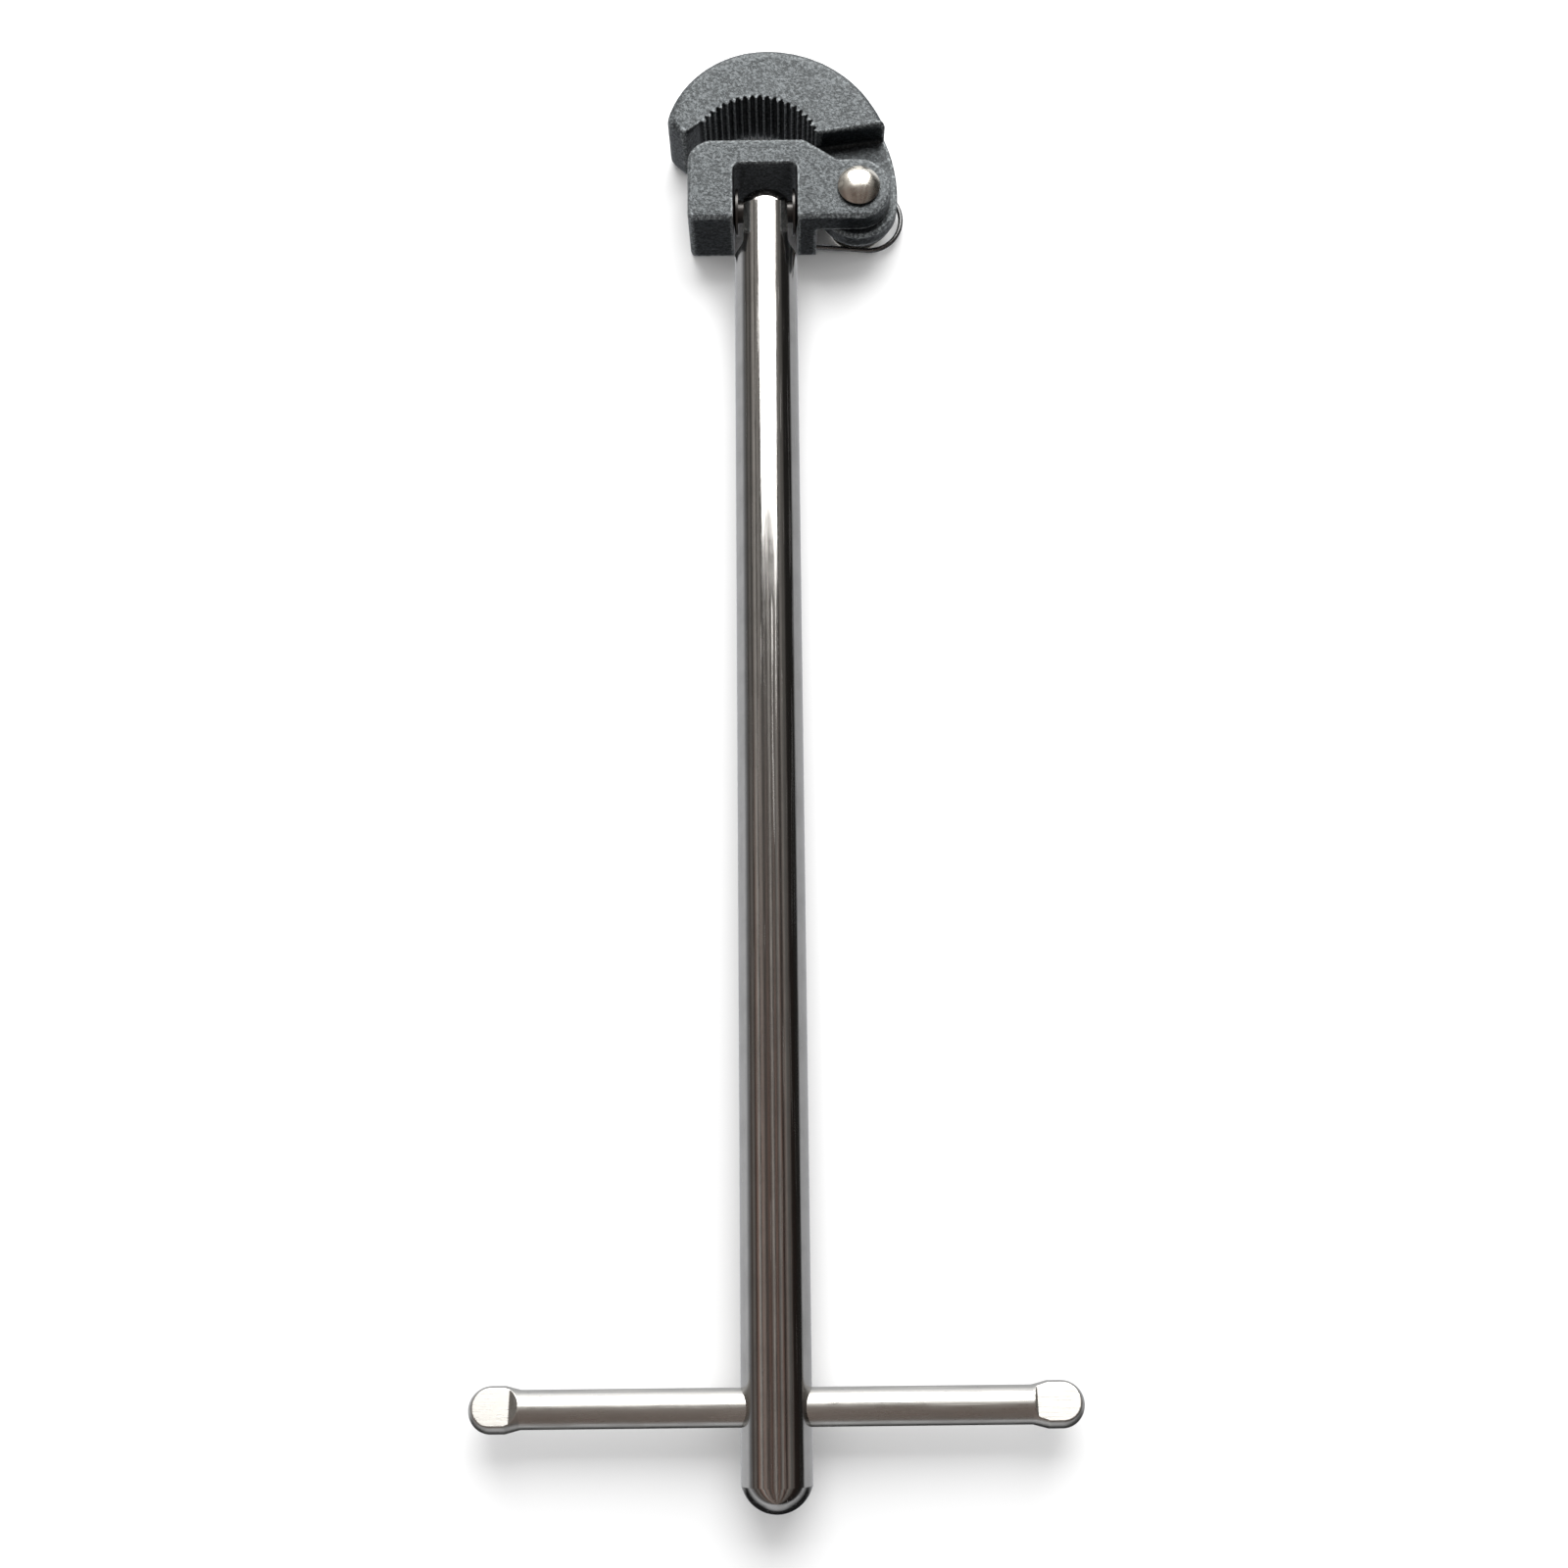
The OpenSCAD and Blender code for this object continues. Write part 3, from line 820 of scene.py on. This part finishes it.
def powder_coat(coat):
    """The castings' shared coat: blue-grey and crinkled, paler where edges are rubbed, and darkened
    in hollows as painted shade. Its gloss follows the grain, so that the crinkles glint."""
    name = "Powder coat"
    if name in bpy.data.materials:
        return bpy.data.materials[name]
    # Near-black colour of the painted shade in the castings' hollows
    painted_hollow_shade = (0.006, 0.007, 0.008)

    def build(s, put):
        group = s.add("ShaderNodeGroup", {}, node_tree=crinkle_group())
        group.inputs["Grain"].default_value = coat.grain * MM * 0.6
        out = group.outputs
        edge = s.add("ShaderNodeAttribute", attribute_name="edge").outputs["Fac"]
        hollow = s.add("ShaderNodeAttribute", attribute_name="hollow").outputs["Fac"]
        base = s.blend(out["Specks"], tuple(coat.dark), tuple(coat.light))
        base = s.blend(s.math("MULTIPLY", out["Patches"], 0.35), base, tuple(coat.dark))
        grain = s.spread(out["Specks"], 0.2, 0.9, 0.25, 1.0)
        worn = s.math("MULTIPLY", s.spread(edge, 0.25, 0.8), grain)
        base = s.blend(s.math("MULTIPLY", worn, 0.75), base, tuple(coat.rubbed))
        # Painted shade: the coat is darkened towards near-black where the skin is hollow
        base = s.blend(s.math("MULTIPLY", hollow, 0.6, clamp=True), base, painted_hollow_shade)
        s.feed(put["Base Color"], base)
        rough = s.spread(out["Height"], 0.38, 0.62, 0.48, 0.28)
        s.feed(put["Roughness"], s.math("ADD", rough, s.math("MULTIPLY", hollow, 0.2)))
        s.feed(put["Specular IOR Level"], s.spread(out["Specks"], 0.0, 1.0, 0.48, 0.86))
        bump = s.add("ShaderNodeBump", {"Height": out["Height"], "Distance": 0.00015, "Strength": 1.0})
        s.feed(put["Normal"], bump.outputs[0])

    return material(name, build, IOR=1.55, Specular_Tint=(0.92, 0.98, 1.0, 1.0))


# The pieces


class WrenchOperator(bpy.types.Operator):
    """What every operator of the wrench shares."""

    bl_options = {"REGISTER", "UNDO"}


def cap(radius, height, at, outward, step=4.0):
    """A dome's profile as (distance along the axis, radius), from its rim to its pole."""
    ball = (radius * radius + height * height) / (2 * height)
    rim = math.degrees(math.asin(radius / ball))
    count = math.ceil(rim / step)
    return [
        (
            at + outward * (ball * math.cos(math.radians(rim * (1 - i / count))) - ball + height),
            ball * math.sin(math.radians(rim * (1 - i / count))),
        )
        for i in range(count + 1)
    ]


def rod_cutter(name, radius, start, end, axis_point=(0, 0, 0), axis="Z", sides=48):
    """A round cutter along an axis."""
    return turned(name, [(start, 0), (start, radius), (end, radius), (end, 0)], axis_point, axis, sides)


def tongue_cutter(settings, side):
    """What the cutter takes off one side of the tongue."""
    inner = settings.tongue_width / 2
    outer = SHAFT_R * 2
    runout = settings.runout
    foot = -settings.shoulder
    corner = arc((inner + runout, foot + runout), runout, 270, 180, 9.0)
    outline = [Vector((outer, foot)), *corner, Vector((inner, outer)), Vector((outer, outer))]
    outline = [Vector((side * p.x, p.y)) for p in outline]
    return slab("Tongue cutter", outline if side < 0 else outline[::-1], -outer, outer)


class WRENCH_OT_shaft(WrenchOperator):
    """Turn the shaft, cut its tongue and drill it for the pin and the bar"""

    bl_idname = "wrench.shaft"
    bl_label = "Shaft"

    def execute(self, context):
        own = context.scene.wrench_shaft
        bar_y = BAR_AT.y
        lower = cap(SHAFT_R, own.dome_height, BUTT + own.dome_height, -1)[::-1]
        upper = cap(SHAFT_R, own.dome_height, TONGUE_TIP - own.dome_height, 1)
        stations = 24
        straight = [
            (lower[-1][0] + (upper[0][0] - lower[-1][0]) * i / stations, SHAFT_R)
            for i in range(1, stations)
        ]
        shaft = turned("shaft_turned", lower + straight + upper, sides=144)
        reach = 2 * SHAFT_R
        cutters = [tongue_cutter(own, side) for side in (-1, 1)]
        for bore, y in ((own.pin_bore, 0.0), (own.bar_bore, bar_y)):
            cutters.append(rod_cutter("Bore", bore / 2, -reach, reach, (0, y, 0), "X", 72))
        without(shaft, *cutters)
        bevelled(shaft, own.edge_break)
        ball = (SHAFT_R ** 2 + own.dome_height ** 2) / (2 * own.dome_height)
        shade_by_surfaces(shaft, [
            cylinder_surface((0, 0, 0), (0, 1, 0), SHAFT_R),
            ball_surface((0, BUTT + ball, 0), ball),
            ball_surface((0, TONGUE_TIP - ball, 0), ball),
            cylinder_surface((0, 0, 0), (1, 0, 0), own.pin_bore / 2, True),
            cylinder_surface((0, bar_y, 0), (1, 0, 0), own.bar_bore / 2, True),
        ])
        steel = metal("Polished plating", tuple(own.steel), (1, 0.012, 1), 0.07, 0.05)
        placed(shaft, "shaft", steel, "polished_steel", "shaft")
        return {"FINISHED"}


class WRENCH_OT_bar(WrenchOperator):
    """Turn the sliding bar, swell its ends and press their flats"""

    bl_idname = "wrench.bar"
    bl_label = "Sliding bar"

    def execute(self, context):
        own = context.scene.wrench_bar
        end = node_size("sliding_bar").x / 2
        end_r = own.end_diameter / 2
        swell = end - own.end_length

        def radius_at(x):
            """The bar's radius before its flats are pressed."""
            if x > end - end_r:
                return math.sqrt(max(end_r ** 2 - (x - end + end_r) ** 2, 0))
            rise = min(max((x - swell) / own.taper, 0), 1)
            return own.diameter / 2 + (end_r - own.diameter / 2) * rise

        dome = [end - end_r + end_r * math.sin(math.radians(5 * i)) for i in range(19)]
        body = list(np.linspace(swell - 0.6, end - end_r, 42)[:-1])
        middle = list(np.linspace(0, swell - 0.6, 14)[:-1])
        half = middle + body + dome
        profile = [(-x, radius_at(x)) for x in half[:0:-1]] + [(x, radius_at(x)) for x in half]
        profile[0], profile[-1] = (-end, 0.0), (end, 0.0)
        bar = turned("sliding_bar_turned", profile, BAR_AT, "X", 160)
        for vertex in bar.data.vertices:
            x, z = vertex.co.x - BAR_AT.x, vertex.co.z - BAR_AT.z
            ramp = own.left_ramp if x < 0 else own.right_ramp
            pressed = min(max((abs(x) - end + own.flat_length) / ramp, 0), 1)
            limit = own.diameter / 2 + (own.flat / 2 - own.diameter / 2) * pressed
            turn = Matrix.Rotation(math.radians(own.flat_turn), 2)
            across = turn @ Vector((vertex.co.y - BAR_AT.y, z))
            if pressed > 0 and abs(across.y) > limit:
                across.y = math.copysign(limit, across.y)
                across = turn.transposed() @ across
                vertex.co.y, vertex.co.z = BAR_AT.y + across.x, BAR_AT.z + across.y
        smooth(bar, 50)
        steel = metal("Satin nickel", tuple(own.steel), (0.02, 1, 1), 0.24, 0.10, 0.000006, 6000.0, 0.88)
        placed(bar, "bar", steel, "satin_steel", "sliding_bar")
        return {"FINISHED"}


class WRENCH_OT_head_body(WrenchOperator):
    """Cast the head body, with its slot, the jaw's recess and its crinkled coat"""

    bl_idname = "wrench.head_body"
    bl_label = "Head body"

    def execute(self, context):
        own = context.scene.wrench_head
        coat = context.scene.wrench_coat
        fittings = context.scene.wrench_fittings
        ear_r = node_high("head_body").x - PIVOT_AT.x
        top = PIVOT_AT.y + ear_r
        corners = [
            Vector((HEAD_LEFT, HEAD_DROP)), Vector((PIVOT_AT.x, HEAD_DROP)), Vector((PIVOT_AT.x, top)),
            Vector((PIVOT_AT.x - own.ear_flat, top)), Vector((own.anvil_right, ANVIL)),
            Vector((HEAD_LEFT, ANVIL)),
        ]
        outline = (
            rounded_corner(corners[5], corners[0], corners[1], own.heel_radius)
            + arc(PIVOT_AT, ear_r, -90, 90, 4.0)
            + rounded_corner(corners[2], corners[3], corners[4], own.slope_radius)
            + rounded_corner(corners[3], corners[4], corners[5], own.slope_radius)
            + rounded_corner(corners[4], corners[5], corners[0], own.shoulder_radius)
        )
        outline = resampled(outline, 1.0)
        body = cast_slab("head_body_cast", outline, [1.0] * len(outline), BACK, FRONT,
                         own.edge_radius, own.rear_radius)
        half = own.slot_width / 2
        slot = rounded_outline([
            (-half, 2 * HEAD_DROP, 0), (half, 2 * HEAD_DROP, 0),
            (half, own.slot_top, own.slot_radius), (-half, own.slot_top, own.slot_radius),
        ])
        recess_x = half + own.leg
        ear_back = FRONT - own.ear_thickness
        far = 3 * PIVOT_AT.x
        recess = [Vector(p) for p in ((recess_x, -far), (far, -far), (far, far), (recess_x, far))]
        pin_r = node_size("hinge_pin").z / 2
        pin_end = node_high("hinge_pin").x
        without(
            body,
            slab("Slot", slot, 2 * BACK, 2 * FRONT),
            slab("Recess", recess, 2 * BACK, ear_back),
            rod_cutter("Pin bore", pin_r, 2 * HEAD_LEFT, pin_end, axis="X"),
            rod_cutter("Rivet bore", fittings.shank / 2, BACK, 2 * FRONT, (*PIVOT_AT, 0)),
        )
        skinned(body, coat.voxel, 4)
        mark_edges(body)
        paint = powder_coat(coat)
        coat_tree().put_on(body, {"Grain": coat.grain, "Depth": coat.depth, "Material": paint})
        body.data.shade_smooth()
        placed(body, "head", paint, "powder_coat", "head_body")
        return {"FINISHED"}


class WRENCH_OT_jaw(WrenchOperator):
    """Cast the jaw: the hook with its row of teeth, and the lug that turns on the rivet"""

    bl_idname = "wrench.jaw"
    bl_label = "Jaw"

    def execute(self, context):
        own = context.scene.wrench_jaw
        coat = context.scene.wrench_coat
        fittings = context.scene.wrench_fittings
        head = context.scene.wrench_head
        # Angles in degrees from X: the bite's two ends, the step, the land, the nose's flat and
        # the end of the back's arc. Two more are kept free for the nose and lapped by the lug
        first, last = 21, 146
        step_angle, land_angle, nose_angle, back_end = 8, 215, 138, 35
        nose_room, lug_lap = 8, 3
        bite = Vector((-own.bite_left, own.bite_up))
        crown = Vector((own.crown_right, CROWN_TOP - own.crown_radius))
        back = Vector((own.crown_right, CROWN_TOP - own.back_radius))
        toward = polar((0, 0), 1, back_end)
        reach = (back - PIVOT_AT).dot(toward)
        span = (back - PIVOT_AT).length_squared + 2 * own.back_radius * reach
        flank_r = (span + own.back_radius ** 2 - own.lug_radius ** 2) / (
            2 * (reach + own.back_radius - own.lug_radius)
        )
        flank = back + (own.back_radius - flank_r) * toward
        valley = own.bite_radius + own.tooth_height / 2
        step_start = polar(bite, own.bite_radius, first)
        land_start = polar(bite, own.bite_radius, last)
        tip = land_start + polar((0, 0), own.land, land_angle)
        step_end = ray_to_circle(step_start, step_angle, flank, flank_r)
        step_end_angle = angle_of(step_end - flank)
        nose = ray_to_circle(tip, nose_angle, crown, own.crown_radius)
        nose_end = angle_of(nose - crown) - nose_room
        outer = (
            arc(flank, flank_r, step_end_angle, back_end)
            + arc(back, own.back_radius, back_end, 90)[1:]
            + arc(crown, own.crown_radius, 90, nose_end)[1:]
            + rounded_corner(polar(crown, own.crown_radius, nose_end), nose, tip, own.nose_radius)
        )
        inner = rounded_corner(nose, tip, land_start, own.tip_radius)
        bite_line = arc(bite, valley, last, first)
        outline = outer + inner + bite_line
        # Full rounding on the outside, less at the tip, and hardly any along the teeth
        softness = [1.0] * len(outer) + [0.45] * len(inner) + [0.12] * len(bite_line)
        softness[0] = 0.5
        hook = cast_slab("jaw_cast", outline, softness, BACK, FRONT, own.edge_radius, own.rear_radius)
        lug_front = FRONT - head.ear_thickness - SIDE_GAP
        lug_back = lug_front - own.lug_thickness
        lug_left = head.slot_width / 2 + head.leg + LEAN_GAP
        lug_end = angle_of(PIVOT_AT - flank)
        lug_foot = Vector((lug_left, PIVOT_AT.y - 3))
        inside_hook = step_start + Vector((1.2, 1.2))
        outline = (
            [lug_foot, Vector((lug_left, PIVOT_AT.y)), step_start, inside_hook]
            + arc(flank, flank_r, step_end_angle + lug_lap, lug_end)
            + arc(PIVOT_AT, own.lug_radius, lug_end, angle_of(lug_foot - PIVOT_AT) % 360 - 360)[1:-1]
        )
        outline = resampled(outline[::-1], 1.0)
        lug = cast_slab("Lug", outline, [1.0] * len(outline), lug_back, lug_front, 0.4, 0.7)
        pitch = math.radians(last - first) * own.bite_radius / own.teeth
        # Ribs reach a little into the casting, lap over each other and stop short of its faces
        sink, overlap, shy = 0.35, 1.04, 0.3
        teeth = mesh_object("Teeth", bmesh.new())
        paint = powder_coat(coat)
        rib = own.tooth_height + sink
        teeth_tree().put_on(teeth, {
            "Centre": (*bite, (FRONT + BACK) / 2), "Radius": valley + sink - rib / 3,
            "First angle": math.radians(first), "Sweep": math.radians(last - first),
            "Count": own.teeth, "Height": rib, "Width": pitch * overlap / RIB_SIDE,
            "Depth": FRONT - BACK - shy, "Material": paint,
        })
        joined(hook, lug, teeth)
        skinned(hook, coat.voxel, 3)
        bore = fittings.shank / 2 + RUN_GAP
        without(hook, rod_cutter("Pivot bore", bore, BACK, FRONT, (*PIVOT_AT, 0)))
        hook.data.materials.clear()
        mark_edges(hook)
        coat_tree().put_on(hook, {"Grain": coat.grain, "Depth": coat.depth, "Material": paint})
        hook.data.shade_smooth()
        placed(hook, "jaw", paint, "powder_coat", "jaw")
        return {"FINISHED"}


class WRENCH_OT_fittings(WrenchOperator):
    """Turn the rivet, its washer, the hinge pin and the cupped washers"""

    bl_idname = "wrench.fittings"
    bl_label = "Rivet, pin and washers"

    def execute(self, context):
        own = context.scene.wrench_fittings
        at = (*PIVOT_AT, 0)
        head_r = own.head_diameter / 2
        rim_low = FRONT + own.collar
        rim_high = rim_low + own.rim
        soft = 0.12
        rivet = turned("jaw_rivet_turned", [
            (BACK, 0), (BACK, own.tail_diameter / 2 - soft), (BACK + soft, own.tail_diameter / 2),
            (BACK + own.tail, own.tail_diameter / 2), (BACK + own.tail, own.shank / 2),
            (FRONT, own.shank / 2), (FRONT, own.collar_diameter / 2), (rim_low, own.collar_diameter / 2),
            (rim_low, head_r - soft), (rim_low + soft, head_r),
        ] + cap(head_r, own.dome_height, rim_high, 1), at, "Z")
        nickel = metal("Nickel plate", tuple(own.nickel), (1, 1, 1), 0.22, 0.08, 0.000012, 900.0, 0.72)
        placed(smooth(rivet), "head", nickel, "nickel_plate", "jaw_rivet")
        low, high = node_low("rivet_washer"), node_high("rivet_washer")
        washer_r = (high.x - low.x) / 2
        bore = own.shank / 2 + RUN_GAP
        washer = turned("rivet_washer_turned", [
            (low.z, bore), (low.z, washer_r - soft), (low.z + soft, washer_r),
            (high.z - soft, washer_r), (high.z, washer_r - soft), (high.z, bore),
        ], at, "Z")
        placed(smooth(washer), "head", nickel, "nickel_plate", "rivet_washer")
        ground = metal("Ground steel", tuple(own.pin_steel), (0.05, 1, 1), 0.30, 0.10)
        low, high = node_low("hinge_pin"), node_high("hinge_pin")
        pin_r = (high.z - low.z) / 2
        cut = 0.3
        pin = turned("hinge_pin_turned", [
            (low.x, 0), (low.x, pin_r - cut), (low.x + cut, pin_r), (high.x - cut, pin_r),
            (high.x, pin_r - cut), (high.x, 0),
        ], axis="X")
        placed(smooth(pin), "head", ground, "pin_steel", "hinge_pin")
        for side, name in ((-1, "left"), (1, "right")):
            node = "cup_washer_" + name
            low, high = node_low(node), node_high(node)
            rim_r = (high.z - low.z) / 2
            wall, open_side = (high.x, low.x) if side > 0 else (low.x, high.x)
            rise = abs(wall - open_side)
            sheet = rise / 2
            cup = turned(node + "_turned", [
                (wall, pin_r + RUN_GAP), (wall - side * (rise - sheet), rim_r),
                (open_side, rim_r), (wall - side * sheet, pin_r + RUN_GAP),
            ], axis="X")
            placed(smooth(cup), "head", ground, "pin_steel", node)
        return {"FINISHED"}


class WRENCH_OT_spring(WrenchOperator):
    """Coil the jaw's spring from its leg in the jaw to its leg in the head body"""

    bl_idname = "wrench.spring"
    bl_label = "Jaw spring"

    def execute(self, context):
        own = context.scene.wrench_fittings
        wire_r = own.wire / 2
        low, high = node_low("jaw_spring"), node_high("jaw_spring")
        front_z, rear_z = high.z - wire_r, low.z + wire_r
        rear = Vector((high.x - wire_r - own.coil_radius, PIVOT_AT.y + own.coil_up))
        front = rear - Vector((own.coil_lean, 0))
        # Angles in degrees at which the front leg leaves the coil and the rear leg leaves it
        first, last = 45, -95 - 360
        steps = 60
        leg_short = 0.3
        path = []
        for i in range(steps + 1):
            share = i / steps
            centre = front.lerp(rear, share)
            point = polar(centre, own.coil_radius, first + (last - first) * share)
            path.append((*point, front_z + (rear_z - front_z) * share))
        out = polar((0, 0), 1, first + 90)
        front_leg = Vector(path[0][:2]) + out * (high.y - path[0][1] - leg_short) / out.y
        inward = polar((0, 0), 1, last - 90)
        rear_leg = Vector(path[-1][:2]) + inward * (low.x - path[-1][0]) / inward.x
        path = [(*front_leg, front_z)] + path + [(*rear_leg, rear_z)]
        shape = bmesh.new()
        points = [shape.verts.new(p) for p in path]
        for before, after in zip(points, points[1:]):
            shape.edges.new((before, after))
        spring = mesh_object("jaw_spring_coiled", shape)
        wire = metal("Spring wire", tuple(own.wire_steel), (1, 1, 1), 0.20, 0.12, 0.000005, 1500.0)
        wire_tree().put_on(spring, {
            "Radius": wire_r, "Bend": 0.8, "Spacing": 0.25, "Sides": 20, "Material": wire,
        })
        spring.data.transform(Matrix.Translation(HINGE) @ Matrix.Scale(MM, 4))
        smooth(spring, 60)
        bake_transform(spring)
        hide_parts("jaw_spring")
        return {"FINISHED"}


# The room that metal mirrors: its brightness round the shaft, by degrees from straight up
# towards +X. Directions past FLOOR_ANGLE see the floor, which is a little blue
ROOM_BANDS = (
    (-180, 0.50), (-105, 0.57), (-94, 0.22), (-82, 0.085), (-68, 0.13), (-57, 0.25),
    (-34, 0.25), (-28, 0.07), (-18, 0.10), (-9, 0.40), (0, 0.18), (12, 0.15), (27, 0.155),
    (47, 0.126), (58, 0.075), (68, 0.018), (93, 0.018), (99, 0.45), (180, 0.50),
)
FLOOR_ANGLE = 94
ROOM_TINT = (1, 0.96, 0.92)
FLOOR_TINT = (1, 1.03, 1.08)
BROWN = (1.0, 0.70, 0.62)


def overhead(s, round_shaft):
    """How far a direction is above the shaft rather than beside or below it."""
    return s.spread(s.math("ABSOLUTE", round_shaft), 1.6, 1.0)


def streaks(s, round_shaft, shift, scale):
    """Uneven streaks round the shaft."""
    node = s.add("ShaderNodeTexNoise", {
        "W": s.math("ADD", round_shaft, shift), "Scale": scale, "Detail": 1.5,
    }, noise_dimensions="1D")
    return node.outputs[0]


def room_colour(s, x, y, z):
    """The room's bands, with brown streaks over the shaft's lower half."""
    round_shaft = s.math("ARCTAN2", x, z)
    ramp = s.add("ShaderNodeValToRGB", {0: s.spread(round_shaft, -math.pi, math.pi)})
    stops = ramp.color_ramp.elements
    while len(stops) < len(ROOM_BANDS):
        stops.new(0.5)
    for stop, (degrees, value) in zip(stops, ROOM_BANDS):
        stop.position = (degrees + 180) / 360
        tint = ROOM_TINT if abs(degrees) < FLOOR_ANGLE else FLOOR_TINT
        stop.color = (*(value * c for c in tint), 1)
    low_end = s.math("MULTIPLY", s.spread(y, 0.34, 0.05), overhead(s, round_shaft))
    share = s.math("MULTIPLY", s.spread(streaks(s, round_shaft, 4.0, 2.6), 0.44, 0.56), low_end)
    tone = s.add("ShaderNodeVectorMath", {
        0: ramp.outputs[0], 1: s.blend(share, (1, 1, 1), BROWN),
    }, operation="MULTIPLY")
    return tone.outputs[0]


def room_strength(s, x, y, z):
    """Streaks overhead, a bright wall far behind the head, and darkness low in front of it."""
    round_shaft = s.math("ARCTAN2", x, z)
    lines = s.spread(streaks(s, round_shaft, 9.0, 5.5), 0.36, 0.64, 0.30, 1.70)
    lines = s.add("ShaderNodeMix", {0: overhead(s, round_shaft), 2: 1.0, 3: lines}).outputs[0]
    front = s.math("MAXIMUM", s.spread(y, -0.38, -0.14, 0.03, 1.0), s.spread(y, -0.80, -0.94))
    front = s.math("MAXIMUM", front, s.spread(z, -0.5, -0.15))
    wall = s.math("MULTIPLY", s.spread(y, 0.62, 0.80, 0.0, 2.2), s.spread(z, -0.45, 0.05))
    return s.math("MULTIPLY", lines, s.math("ADD", front, wall))


class WRENCH_OT_stage(WrenchOperator):
    """Set the camera, the pale floor and the soft light"""

    bl_idname = "wrench.stage"
    bl_label = "Stage"

    def execute(self, context):
        own = context.scene.wrench_stage
        scene = context.scene
        scene.view_settings.view_transform = "Standard"
        camera = bpy.data.objects.new("Camera", bpy.data.cameras.new("Camera"))
        scene.collection.objects.link(camera)
        camera.data.lens = own.lens
        camera.data.sensor_width = 36
        camera.data.clip_start, camera.data.clip_end = 0.01, 20
        turn = Matrix.Rotation(own.tilt, 4, "X") @ Matrix.Rotation(own.roll, 4, "Z")
        camera.matrix_world = Matrix.Translation(own.camera_at) @ turn
        scene.camera = camera
        floor = slab("Floor", [Vector(p) * 4000 for p in ((-1, -1), (1, -1), (1, 1), (-1, 1))], -10, 0)
        floor.data.transform(Matrix.Scale(MM, 4))
        pale = material("Pale floor", lambda s, put: None, Roughness=0.9)
        pale.node_tree.nodes["Principled BSDF"].inputs["Base Color"].default_value = (*own.pale, 1)
        floor.data.materials.append(pale)
        floor.visible_glossy = False
        self.light(scene, own)
        self.world(scene, own)
        return {"FINISHED"}

    def light(self, scene, own):
        """A large softbox behind the head, turned towards the wrench."""
        lamp = bpy.data.lights.new("Softbox", "AREA")
        lamp.shape, lamp.size, lamp.size_y = "RECTANGLE", 0.92, 0.97
        lamp.energy = own.softbox
        holder = bpy.data.objects.new("Softbox", lamp)
        scene.collection.objects.link(holder)
        at, aim = Vector((0.07, 0.75, 0.60)), Vector((0.07, 0.05, 0))
        facing = (at - aim).to_track_quat("Z", "Y")
        holder.matrix_world = Matrix.Translation(at) @ facing.to_matrix().to_4x4()

    def world(self, scene, own):
        """A pale surround, with the darker bands of a room where metal mirrors it."""
        scene.world = bpy.data.worlds.new("Surround")
        scene.world.use_nodes = True
        scene.world.cycles.sampling_method = "NONE"
        tree = scene.world.node_tree
        s = Shader(tree)
        toward = s.add("ShaderNodeSeparateXYZ", {0: s.add("ShaderNodeTexCoord").outputs["Generated"]})
        room = s.add("ShaderNodeBackground", {
            "Color": room_colour(s, *toward.outputs), "Strength": room_strength(s, *toward.outputs),
        })
        dome = s.spread(toward.outputs[1], -0.6, 0.25, 0.45, 1.0)
        pale = s.add("ShaderNodeBackground", {"Color": (*own.pale, 1), "Strength": dome})
        path = s.add("ShaderNodeLightPath")
        mixed = s.add("ShaderNodeMixShader", {
            0: path.outputs["Is Glossy Ray"], 1: pale.outputs[0], 2: room.outputs[0],
        })
        out = tree.nodes["World Output"]
        tree.links.new(mixed.outputs[0], out.inputs["Surface"])


class WRENCH_PT_panel(bpy.types.Panel):
    """The wrench's pieces in the sidebar"""

    bl_label = "Basin Wrench"
    bl_space_type = "VIEW_3D"
    bl_region_type = "UI"
    bl_category = "Basin Wrench"

    def draw(self, context):
        for operator in OPERATORS:
            self.layout.operator(operator.bl_idname)
        for name in SETTINGS:
            box = self.layout.box()
            group = getattr(context.scene, name)
            for key in group.__annotations__:
                box.prop(group, key)


OPERATORS = (
    WRENCH_OT_stage,
    WRENCH_OT_shaft,
    WRENCH_OT_bar,
    WRENCH_OT_head_body,
    WRENCH_OT_jaw,
    WRENCH_OT_fittings,
    WRENCH_OT_spring,
)
CLASSES = (*SETTINGS.values(), *OPERATORS, WRENCH_PT_panel)


def register():
    """Registers the classes and puts the settings on the scene."""
    for cls in CLASSES:
        bpy.utils.register_class(cls)
    for name, cls in SETTINGS.items():
        setattr(bpy.types.Scene, name, PointerProperty(type=cls))


def unregister():
    """Undoes register."""
    for name in SETTINGS:
        delattr(bpy.types.Scene, name)
    for cls in reversed(CLASSES):
        bpy.utils.unregister_class(cls)


def main():
    """Builds the whole wrench."""
    register()
    bpy.ops.wrench.stage()
    bpy.ops.wrench.shaft()
    bpy.ops.wrench.bar()
    bpy.ops.wrench.head_body()
    bpy.ops.wrench.jaw()
    bpy.ops.wrench.fittings()
    bpy.ops.wrench.spring()


if __name__ == "__main__":
    main()
